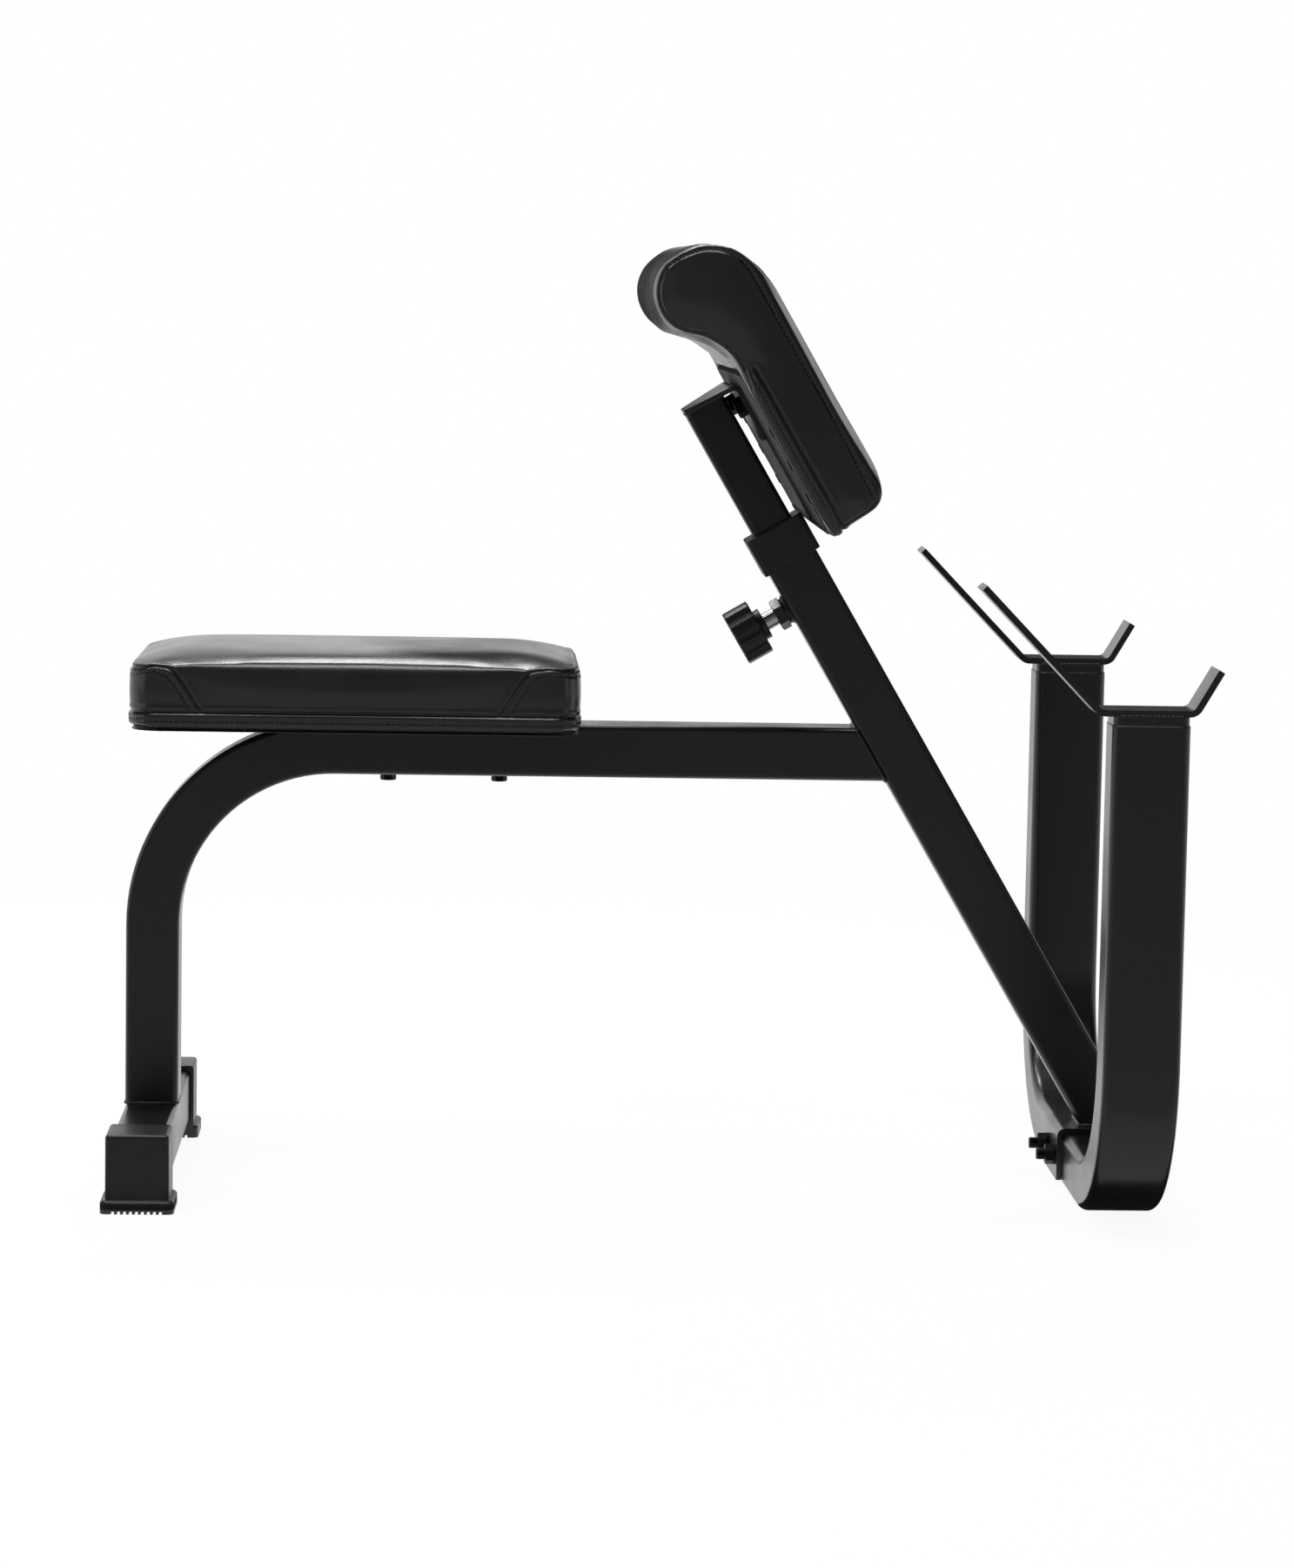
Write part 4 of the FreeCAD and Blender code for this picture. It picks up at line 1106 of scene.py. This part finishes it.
@dataclass
class ArmPad(Cushion):
    """Arm pad: one cover over its roll and front, an end panel on each side and a band at its back.

    The angles are those of the points that the end panel's seam takes round each bend, in degrees.
    """

    back: float = 35.0
    low: float = 638.0
    width: float = 440.0
    length: float = 292.0
    thick: float = 65.0
    roll_radius: float = 41.0
    roll_at: tuple[float, float] = (3.0, 251.0)
    roll_turns: tuple[float, ...] = (105, 125, 150, 175, 200, 225, 245)
    neck_radius: float = 60.0
    neck_height: float = 171.3
    neck_turns: tuple[float, ...] = (34, 22, 10)
    front_radius: float = 53.0
    front_turns: tuple[float, ...] = (10, 30, 50, 70, 85)
    front_heights: tuple[float, ...] = (90, 160)
    front_ease: float = 20.0
    front_corner: float = 17.0
    corner_ease: float = 3.0
    corner_turns: tuple[float, ...] = (-60, -30, 0)
    band: float = 14.0
    band_drop: float = 2.5
    band_rows: tuple[float, float] = (9.4, 4.8)
    row_top: float = 4.0
    row_corner: float = 2.0
    edge_inset: float = 4.0
    front_inset: float = 11.0
    seam_start: float = 2.0
    seam_end: tuple[float, float] = (1.0, 2.0)
    groove_gap: float = 1.0
    back_rise: float = 10.0
    end_depth: float = 3.0
    end_fill: float = 7.0
    end_reach: float = 14.0
    rim_step: float = 3.0
    hem_width: float = 9.0
    hem_drop: float = 12.0
    hem_foot: float = 3.0
    hem_side: float = 20.0
    hem_corner: float = 10.0
    hem_cut: float = 12.0
    staple_corner: float = 6.0
    staple_cut: float = 20.0

    def place(self) -> Matrix:
        """Pad's frame: X forward of its back, Z up the post from the pad's lower edge.

        Returns:
            The matrix in metres.
        """
        foot = Matrix.Translation(Vector((POST_FOOT[0], 0, POST_FOOT[1])) * MM)
        turn = Matrix.Rotation(math.radians(-POST_LEAN), 4, "Y")
        return foot @ turn @ Matrix.Translation(Vector((self.back, 0, self.low)) * MM)

    def end_outline(self) -> np.ndarray:
        """Seam of an end panel, from the band's foot round the front and the roll to the band's top.

        Returns:
            Points in mm, in the pad's frame at Y zero.
        """
        edge, front = self.edge_inset, self.front_inset
        face = self.thick - front
        start = face - self.front_corner
        bend = self.front_corner - self.corner_ease
        low = [(self.band + self.seam_start, edge), (start, edge)]
        low += arc((start, edge + bend), (bend, bend), self.corner_turns)
        top = (self.thick - self.front_radius, self.length - self.front_radius)
        rise = [(face, z) for z in (*self.front_heights, top[1] - self.front_ease)]
        over = arc(top, (self.front_radius - front, self.front_radius - (front + edge) / 2), self.front_turns)
        roll = self.roll_radius - edge
        neck = self.neck_radius + edge
        behind = arc(self.roll_at, (roll, roll), self.roll_turns)
        under = arc((-self.neck_radius, self.neck_height), (neck, neck), self.neck_turns)
        end = (edge + self.seam_end[0], self.neck_height - self.seam_end[1])
        return np.array([(x, 0, z) for x, z in low + rise + over + behind + under + [end]])

    def seams(self) -> list[Seam]:
        """An end panel's seam on each side, the band's groove and two rows on the band.

        Returns:
            The seams.
        """
        half = self.width / 2
        outline = self.end_outline()
        made = []
        for side in (-1, 1):
            line = even_line(outline + (0, side * half, 0), FINE)
            made.append(Seam(line, closed=False, depth=1.3, width=1.4))
        low, top = -self.band_drop, self.neck_height - self.row_top
        corner = self.row_corner
        sewn, folded = self.band_rows
        for x, depth, width, stitched in ((self.band, 1.8, 1.6, False), (sewn, 0.6, 1.0, True),
                                          (folded, 0.6, 1.0, False)):
            path = [(x, -half, top), (x, -half, low + corner), (x, -half + corner, low),
                    (x, half - corner, low), (x, half, low + corner), (x, half, top)]
            made.append(Seam(even_line(path, FINE, smooth=False), False, depth, width, stitched))
        return made

    def backed(self, points: np.ndarray) -> np.ndarray:
        """The band and the back, which the board holds."""
        held_to = self.neck_height + self.back_rise
        return (points[:, 0] < self.band - self.groove_gap) & (points[:, 2] < held_to)

    def filled(self, points: np.ndarray) -> np.ndarray:
        """Puffed end panels, fullest along their middle line.

        Args:
            points: Points in mm.

        Returns:
            Extra foam in mm.
        """
        ends = np.abs(points[:, 1]) > self.width / 2 - self.end_depth
        rim = even_line(self.end_outline(), self.rim_step)[:, ::2]
        gap = np.min(np.linalg.norm(points[:, None, ::2] - rim[None], axis=2), axis=1)
        return ends * self.end_fill * (1 - np.exp(-(gap / self.end_reach) ** 2))

    def hem(self) -> tuple[Object, np.ndarray, Vector]:
        """Cover folded behind the board, open at the top.

        Returns:
            The strip, the line of its staples in mm and the direction away from the board.
        """
        height = self.neck_height - self.hem_drop
        width = self.width - self.hem_side
        strip = self.folded(height, width, self.hem_corner, corner_segments=5)
        with editing(strip):
            bpy.ops.mesh.bisect(plane_co=((height / 2 - self.hem_cut) * MM, 0, 0), plane_no=(1, 0, 0),
                                clear_outer=True)
        self.thicken(strip, side=1.0)
        middle = height / 2 + self.hem_foot
        upright = Matrix.Translation((0, 0, middle * MM)) @ Matrix.Rotation(-math.pi / 2, 4, "Y")
        strip.data.transform(upright)
        loop = round_loop(height - self.hem_width, width - self.hem_width, self.staple_corner)
        row = even_line(loop, FINE, closed=True, smooth=False)
        kept = opened(row, row[:, 0] > height / 2 - self.staple_cut)
        line = np.column_stack([np.zeros(len(kept)), kept[:, 1], kept[:, 0] + middle])
        return strip, line, Vector((-1, 0, 0))


# Welds and threads

@dataclass
class WeldRun:
    """Line of a fillet weld in mm, and the size of its ripples as a share of a full one."""

    line: np.ndarray
    closed: bool = True
    size: float = 0.8


@dataclass
class Welds:
    """Weld beads under the coat, laid as overlapping ripples round the tubes' joints.

    The leg and the stand are given by the X of their middles. A tuck is how much narrower a bead's loop
    is than its tube, and a spread how much wider.
    """

    leg: float = -465.049
    stand: float = 434.951
    tube: float = 50.0
    tube_tuck: float = 0.6
    tube_spread: float = 1.0
    bead_lift: float = 0.5
    rail_top: float = 433.0
    rail_tuck: float = 1.0
    foot_top: float = 67.0
    back_gap: float = 0.3
    lock_up: float = 581.0
    boss: float = 26.0
    boss_gap: float = 0.4
    boss_step: float = 12.0
    inner: float = 40.0
    inner_tuck: float = 1.5
    inner_top: float = 790.0
    inner_drop: float = 0.8
    upright: tuple[float, float, float] = (70.0, 50.0, 275.0)
    upright_top: float = 464.5
    cap_tuck: float = 3.0
    cap_lift: float = 0.2
    cap_size: float = 0.7
    plate: float = 9.0
    catch_half: float = 22.5
    catch_gap: float = 0.2
    catch_lift: float = 0.4
    catch_reach: float = 28.0
    ripple: tuple[float, float, float] = (3.2, 5.2, 4.2)
    ripple_nose: float = 0.3
    ripple_taper: float = 0.7
    steep: float = 0.9
    pitch: float = 1.9
    voxel: float = 0.8

    def on_post(self, points: np.ndarray) -> np.ndarray:
        """Points of the post's frame in the bench's frame.

        Args:
            points: Rows of forward, across and up, in mm.

        Returns:
            Rows of X, Y and Z in mm.
        """
        lean = math.radians(POST_LEAN)
        forward = np.array([math.cos(lean), 0, math.sin(lean)])
        up = np.array([-math.sin(lean), 0, math.cos(lean)])
        foot = np.array([POST_FOOT[0], 0, POST_FOOT[1]])
        return foot + points[:, :1] * forward + points[:, 1:2] * (0, 1, 0) + points[:, 2:] * up

    def on_back(self, across: np.ndarray, up: np.ndarray) -> np.ndarray:
        """Points just behind the post's rear face, in the bench's frame."""
        behind = np.full(len(up), -self.tube / 2 - self.back_gap)
        return self.on_post(np.column_stack([behind, across, up]))

    def frame_runs(self) -> list[WeldRun]:
        """Beads on the frame: leg, post, rail, lock boss, end plates and catches.

        Returns:
            The runs.
        """
        lean = math.radians(POST_LEAN)
        slant = self.tube / math.cos(lean)
        narrow = self.tube - self.tube_tuck
        leg = round_loop(narrow, narrow, radius=5.0) + (self.leg, 0, self.foot_top + self.bead_lift)
        post = round_loop(slant + self.tube_spread, self.tube + self.tube_spread, radius=5.5)
        post += (POST_FOOT[0], 0, POST_FOOT[1] + self.bead_lift)
        face = round_loop(slant + self.tube_spread, self.tube - self.rail_tuck, radius=6.0)
        low = (self.rail_top - self.tube - POST_FOOT[1] + self.tube / 2 * math.sin(lean)) / math.cos(lean)
        rail = self.on_back(face[:, 1], face[:, 0] + low + slant / 2)
        turns = np.radians(np.arange(0, 360, self.boss_step))
        reach = self.boss / 2 + self.boss_gap
        ring = self.on_back(np.cos(turns) * reach, np.sin(turns) * reach + self.lock_up)
        runs = [WeldRun(leg), WeldRun(post), WeldRun(rail), WeldRun(ring)]
        length, width, at = self.upright
        for side in (-1, 1):
            cap = round_loop(length - self.cap_tuck, width - self.cap_tuck, radius=7.0)
            cap += (self.stand, side * at, self.upright_top + self.cap_lift)
            runs.append(WeldRun(cap, size=self.cap_size))
            for edge in (-1, 1):
                y = side * at + edge * (self.catch_half + self.catch_gap)
                z = self.upright_top + self.plate + self.catch_lift
                ends = [(self.stand + way * self.catch_reach, y, z) for way in (-1, 1)]
                runs.append(WeldRun(np.array(ends), closed=False))
        return runs

    def carriage_runs(self) -> list[WeldRun]:
        """Bead under the arm pad's plate.

        Returns:
            The run, in a list.
        """
        narrow = self.inner - self.inner_tuck
        loop = round_loop(narrow, narrow, radius=4.0) + (0, 0, self.inner_top - self.inner_drop)
        return [WeldRun(self.on_post(loop))]

    def bead(self, name: str, runs: Sequence[WeldRun]) -> Object:
        """Ripples along the runs, melted into one skin.

        Args:
            name: Name of the piece.
            runs: Lines to follow.

        Returns:
            The new object.
        """
        bpy.ops.mesh.primitive_uv_sphere_add(segments=10, ring_count=6, radius=0.5)
        one = last_made("ripple")
        with editing(one):
            bpy.ops.transform.resize(value=tuple(s * MM for s in self.ripple))
        ahead = points_of(one)[:, 0] > self.ripple_nose * self.ripple[0] * MM
        with editing(one):
            pick(one, Kind.VERT, ahead)
            taper = (1, self.ripple_taper, self.ripple_taper)
            bpy.ops.transform.resize(value=taper, center_override=(0, 0, 0))
        places = []
        for run in runs:
            row = even_line(run.line, self.pitch, run.closed, smooth=False) * MM
            ways = np.roll(row, -1, 0) - np.roll(row, 1, 0)
            if not run.closed:
                ways[:] = row[-1] - row[0]
            for here, along in zip(row, ways):
                level = abs(along[2]) < np.linalg.norm(along) * self.steep
                up = (0, 0, 1) if level else (0, 1, 0)
                places.append(frame_at(here, along, up) @ Matrix.Scale(run.size, 4))
        skin = scatter(name, one, places)
        finish_with(skin, "REMESH", mode="VOXEL", voxel_size=self.voxel * MM)
        relax(skin, passes=1)
        soften(skin)
        return skin

    def build(self) -> None:
        """Make the beads of both bodies."""
        hand_over(self.bead("weld_beads_frame", self.frame_runs()), Body.FRAME, Slot.PAINT, POWDER_COAT)
        hand_over(self.bead("weld_bead_plate", self.carriage_runs()), Body.CARRIAGE, Slot.PAINT, POWDER_COAT)


@dataclass
class BoltThreads:
    """Thread on the stand bolts' ends, behind their nuts."""

    start: float = 384.6
    overlap: float = 0.6
    length: float = 7.4
    across: tuple[float, float] = (-28.0, 28.0)
    height: float = 28.0
    radius: float = 4.95
    ridge: float = 0.55
    ridge_sides: int = 6
    ridge_stretch: float = 1.1
    pitch: float = 1.5
    steps: int = 24

    def build(self) -> None:
        """Sweep one ridge to a helix and copy it to both bolts."""
        turns = int(self.length / self.pitch)
        bpy.ops.mesh.primitive_circle_add(vertices=self.ridge_sides, radius=self.ridge * MM)
        one = last_made("thread")
        with editing(one):
            bpy.ops.transform.resize(value=(self.ridge_stretch, 1, 1))
            bpy.ops.transform.translate(value=(0, self.radius * MM, 0))
        finish_with(one, "SCREW", axis="X", angle=2 * math.pi, screw_offset=-self.pitch * MM,
                    iterations=turns, steps=self.steps, render_steps=self.steps)
        with editing(one):
            bpy.ops.mesh.select_non_manifold()
            bpy.ops.mesh.edge_face_add()
            bpy.ops.mesh.select_all(action="SELECT")
            bpy.ops.mesh.normals_make_consistent(inside=False)
        first = self.start - self.overlap
        places = [Matrix.Translation(Vector((first, y, self.height)) * MM) for y in self.across]
        piece = scatter("stand_bolt_threads", one, places)
        hand_over(piece, Body.FRAME, Slot.FASTENER, BLACK_OXIDE)


# Studio

@dataclass(frozen=True)
class Lamp:
    """A soft lamp: its place and size in metres, its power in watts, and whether reflections see it."""

    name: str
    spot: tuple[float, float, float]
    size: tuple[float, float]
    power: float
    reflected: bool = True


@dataclass(frozen=True)
class Cloth:
    """A flat cloth on a stand: its size and place in metres, its shade and its turn in degrees."""

    name: str
    size: tuple[float, float]
    spot: tuple[float, float, float]
    shade: str
    tilt: float = 0.0
    turn: float = 0.0

    def place(self) -> Matrix:
        """Matrix that sets the cloth up.

        Returns:
            The matrix in metres.
        """
        tilt = Matrix.Rotation(math.radians(self.tilt), 4, "X")
        turn = Matrix.Rotation(math.radians(self.turn), 4, "Z")
        return Matrix.Translation(self.spot) @ (turn @ tilt)


@dataclass
class Studio:
    """Pale floor, soft lamps, grey cloths and the camera. The camera's angles are in radians."""

    eye: tuple[float, float, float] = (-0.17149, -4.26529, 0.85098)
    yaw: float = 0.040229
    pitch: float = 0.111045
    roll: float = -0.0175
    lens: float = 103.93
    sensor: float = 36.0
    white: str = "#ffffff"
    paper: str = "#f4f4f4"
    floor_radius: float = 3.2
    floor_sides: int = 96
    floor_rim: float = 0.4
    floor_drop: float = 0.0003
    floor_fade: tuple[float, float] = (0.5, 0.98)
    floor_glow: float = 0.93
    world_light: float = 0.4
    aim: tuple[float, float, float] = (0.0, 0.0, 0.55)
    lamps: tuple[Lamp, ...] = (
        Lamp("strip_top_back", (-0.4, 1.5, 2.7), (2.6, 0.5), 60.0),
        Lamp("softbox_overhead", (-0.2, -0.55, 3.4), (2.4, 0.7), 45.0),
        Lamp("fill_front_left", (-3.0, -3.2, 2.4), (2.6, 2.6), 110.0, reflected=False),
    )
    cloths: tuple[Cloth, ...] = (
        Cloth("flag_front", (15.0, 4.0), (0.0, -5.6, 2.0), "#595959", tilt=90.0),
        Cloth("flag_floor", (15.0, 5.2), (0.0, -3.0, 0.004), "#9c9c9c"),
        Cloth("flag_top", (15.0, 9.0), (0.0, -1.1, 4.0), "#262626"),
        Cloth("flag_back", (15.0, 1.4), (0.0, 3.4, 3.3), "#262626", tilt=90.0),
        Cloth("flag_sill", (3.0, 0.155), (0.0, -0.3225, 0.004), "#b8b8b8"),
        Cloth("flag_under", (3.0, 0.095), (0.0, -0.1975, 0.004), "#262626"),
        Cloth("flag_roll", (0.27, 0.68), (-0.115, 0.7, 1.0), "#262626", tilt=90.0),
        Cloth("flag_catch", (0.9, 2.2), (1.0, 3.4, 1.5), "#484848", tilt=90.0),
        Cloth("flag_lock", (0.26, 0.16), (0.1, 0.45, 0.6), "#262626", tilt=90.0),
        Cloth("flag_right", (4.0, 3.0), (2.6, 0.6, 2.2), "#262626", tilt=90.0, turn=90.0),
    )

    def camera(self) -> None:
        """Camera at the photograph's place."""
        level = math.cos(self.pitch)
        forward = Vector((math.sin(self.yaw) * level, math.cos(self.yaw) * level, -math.sin(self.pitch)))
        right = Vector((math.cos(self.yaw), -math.sin(self.yaw), 0))
        down = forward.cross(right)
        side = right * math.cos(self.roll) + down * math.sin(self.roll)
        under = down * math.cos(self.roll) - right * math.sin(self.roll)
        turn = Matrix((side, -under, -forward)).transposed().to_4x4()
        bpy.ops.object.camera_add()
        camera = last_made("camera")
        camera.data.lens = self.lens
        camera.data.sensor_width = self.sensor
        camera.matrix_world = Matrix.Translation(Vector(self.eye)) @ turn
        bpy.context.scene.camera = camera

    def shown(self, tree: NodeTree) -> NodeSocket:
        """One for camera, glossy and transmission rays, and zero for the rest.

        Args:
            tree: Node tree of a material or world.

        Returns:
            The socket.
        """
        path = add_node(tree, "LightPath").outputs
        seen = path["Is Camera Ray"]
        for ray in ("Is Glossy Ray", "Is Transmission Ray"):
            seen = add_node(tree, "Math", {"operation": "MAXIMUM"}, {0: seen, 1: path[ray]}).outputs[0]
        return seen

    def world(self) -> None:
        """White room for the eye, softer as a lamp."""
        world = bpy.data.worlds.new("white_room")
        world.use_nodes = True
        tree = world.node_tree
        tree.nodes.clear()
        soft = add_node(tree, "Background", {"Strength": self.world_light}).outputs[0]
        white = add_node(tree, "Background", {"Color": linear(self.white), "Strength": 1.0}).outputs[0]
        mixed = add_node(tree, "MixShader", links={0: self.shown(tree), 1: soft, 2: white}).outputs[0]
        add_node(tree, "OutputWorld", links={"Surface": mixed})
        bpy.context.scene.world = world

    def floor(self) -> None:
        """Round pale floor that fades into the room and keeps the bench's shadow."""
        bpy.ops.mesh.primitive_circle_add(vertices=self.floor_sides, radius=self.floor_radius,
                                          fill_type="NGON", location=(0, 0, -self.floor_drop))
        floor = last_made("floor")
        with editing(floor):
            bpy.ops.mesh.inset(thickness=self.floor_radius * self.floor_rim)
        material, tree = fresh_tree("floor_white_paper")
        place = add_node(tree, "TexCoord").outputs["Object"]
        reach = add_node(tree, "VectorMath", {"operation": "LENGTH"}, {0: place}).outputs["Value"]
        start, end = (self.floor_radius * share for share in self.floor_fade)
        fade = {"From Min": start, "From Max": end, "interpolation_type": "SMOOTHSTEP"}
        edge = add_node(tree, "MapRange", fade, {"Value": reach}).outputs[0]
        glow = add_node(tree, "Math", {"operation": "MULTIPLY", 1: self.floor_glow},
                        {0: self.shown(tree)}).outputs[0]
        paper = add_node(tree, "BsdfDiffuse", {"Color": linear(self.paper)}).outputs[0]
        white = add_node(tree, "Emission", {"Color": linear(self.white), "Strength": 1.0}).outputs[0]
        lit = add_node(tree, "MixShader", links={0: glow, 1: paper, 2: white}).outputs[0]
        clear = add_node(tree, "BsdfTransparent").outputs[0]
        faded = add_node(tree, "MixShader", links={0: edge, 1: lit, 2: clear}).outputs[0]
        add_node(tree, "OutputMaterial", links={"Surface": faded})
        floor.data.materials.append(material)

    def flags(self) -> None:
        """Cloths round the bench that only reflections see, so that its faces stay dark."""
        for cloth in self.cloths:
            material, tree = fresh_tree(cloth.name + "_cloth")
            seen = add_node(tree, "LightPath").outputs["Is Glossy Ray"]
            dark = add_node(tree, "Emission", {"Color": linear(cloth.shade)}).outputs[0]
            clear = add_node(tree, "BsdfTransparent").outputs[0]
            mixed = add_node(tree, "MixShader", links={0: seen, 1: clear, 2: dark}).outputs[0]
            add_node(tree, "OutputMaterial", links={"Surface": mixed})
            bpy.ops.mesh.primitive_plane_add(size=1)
            sheet = last_made(cloth.name)
            with editing(sheet):
                bpy.ops.transform.resize(value=(*cloth.size, 1))
                bpy.ops.mesh.subdivide(number_cuts=3)
            sheet.data.transform(cloth.place())
            sheet.data.materials.append(material)

    def lights(self) -> None:
        """Soft lamps that face the bench."""
        for lamp in self.lamps:
            bpy.ops.object.light_add(type="AREA", location=lamp.spot)
            made = last_made(lamp.name)
            made.data.shape = "RECTANGLE"
            made.data.size, made.data.size_y = lamp.size
            made.data.energy = lamp.power
            made.visible_glossy = lamp.reflected
            aim = Vector(self.aim) - Vector(lamp.spot)
            made.rotation_euler = aim.to_track_quat("-Z", "Y").to_euler()

    def build(self) -> None:
        """Set up the room."""
        self.camera()
        self.world()
        self.floor()
        self.flags()
        self.lights()
        bpy.context.scene.view_settings.view_transform = "Standard"


def empty_room() -> None:
    """Remove what a new Blender file holds."""
    for obj in list(bpy.data.objects):
        bpy.data.objects.remove(obj)


def main() -> None:
    """Load the frame and build every piece around it."""
    logging.basicConfig(level=logging.INFO, format="%(name)s %(message)s")
    empty_room()
    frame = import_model()
    deselect()
    dress_cad(frame["nodes"])
    SeatPad("seat_pad", "seat_cushion", Body.FRAME, fill=0.8).build(frame["nodes"])
    ArmPad("arm_pad", "arm_pad_cushion", Body.CARRIAGE, fill=0.8).build(frame["nodes"])
    Welds().build()
    BoltThreads().build()
    Studio().build()


if __name__ == "__main__":
    main()
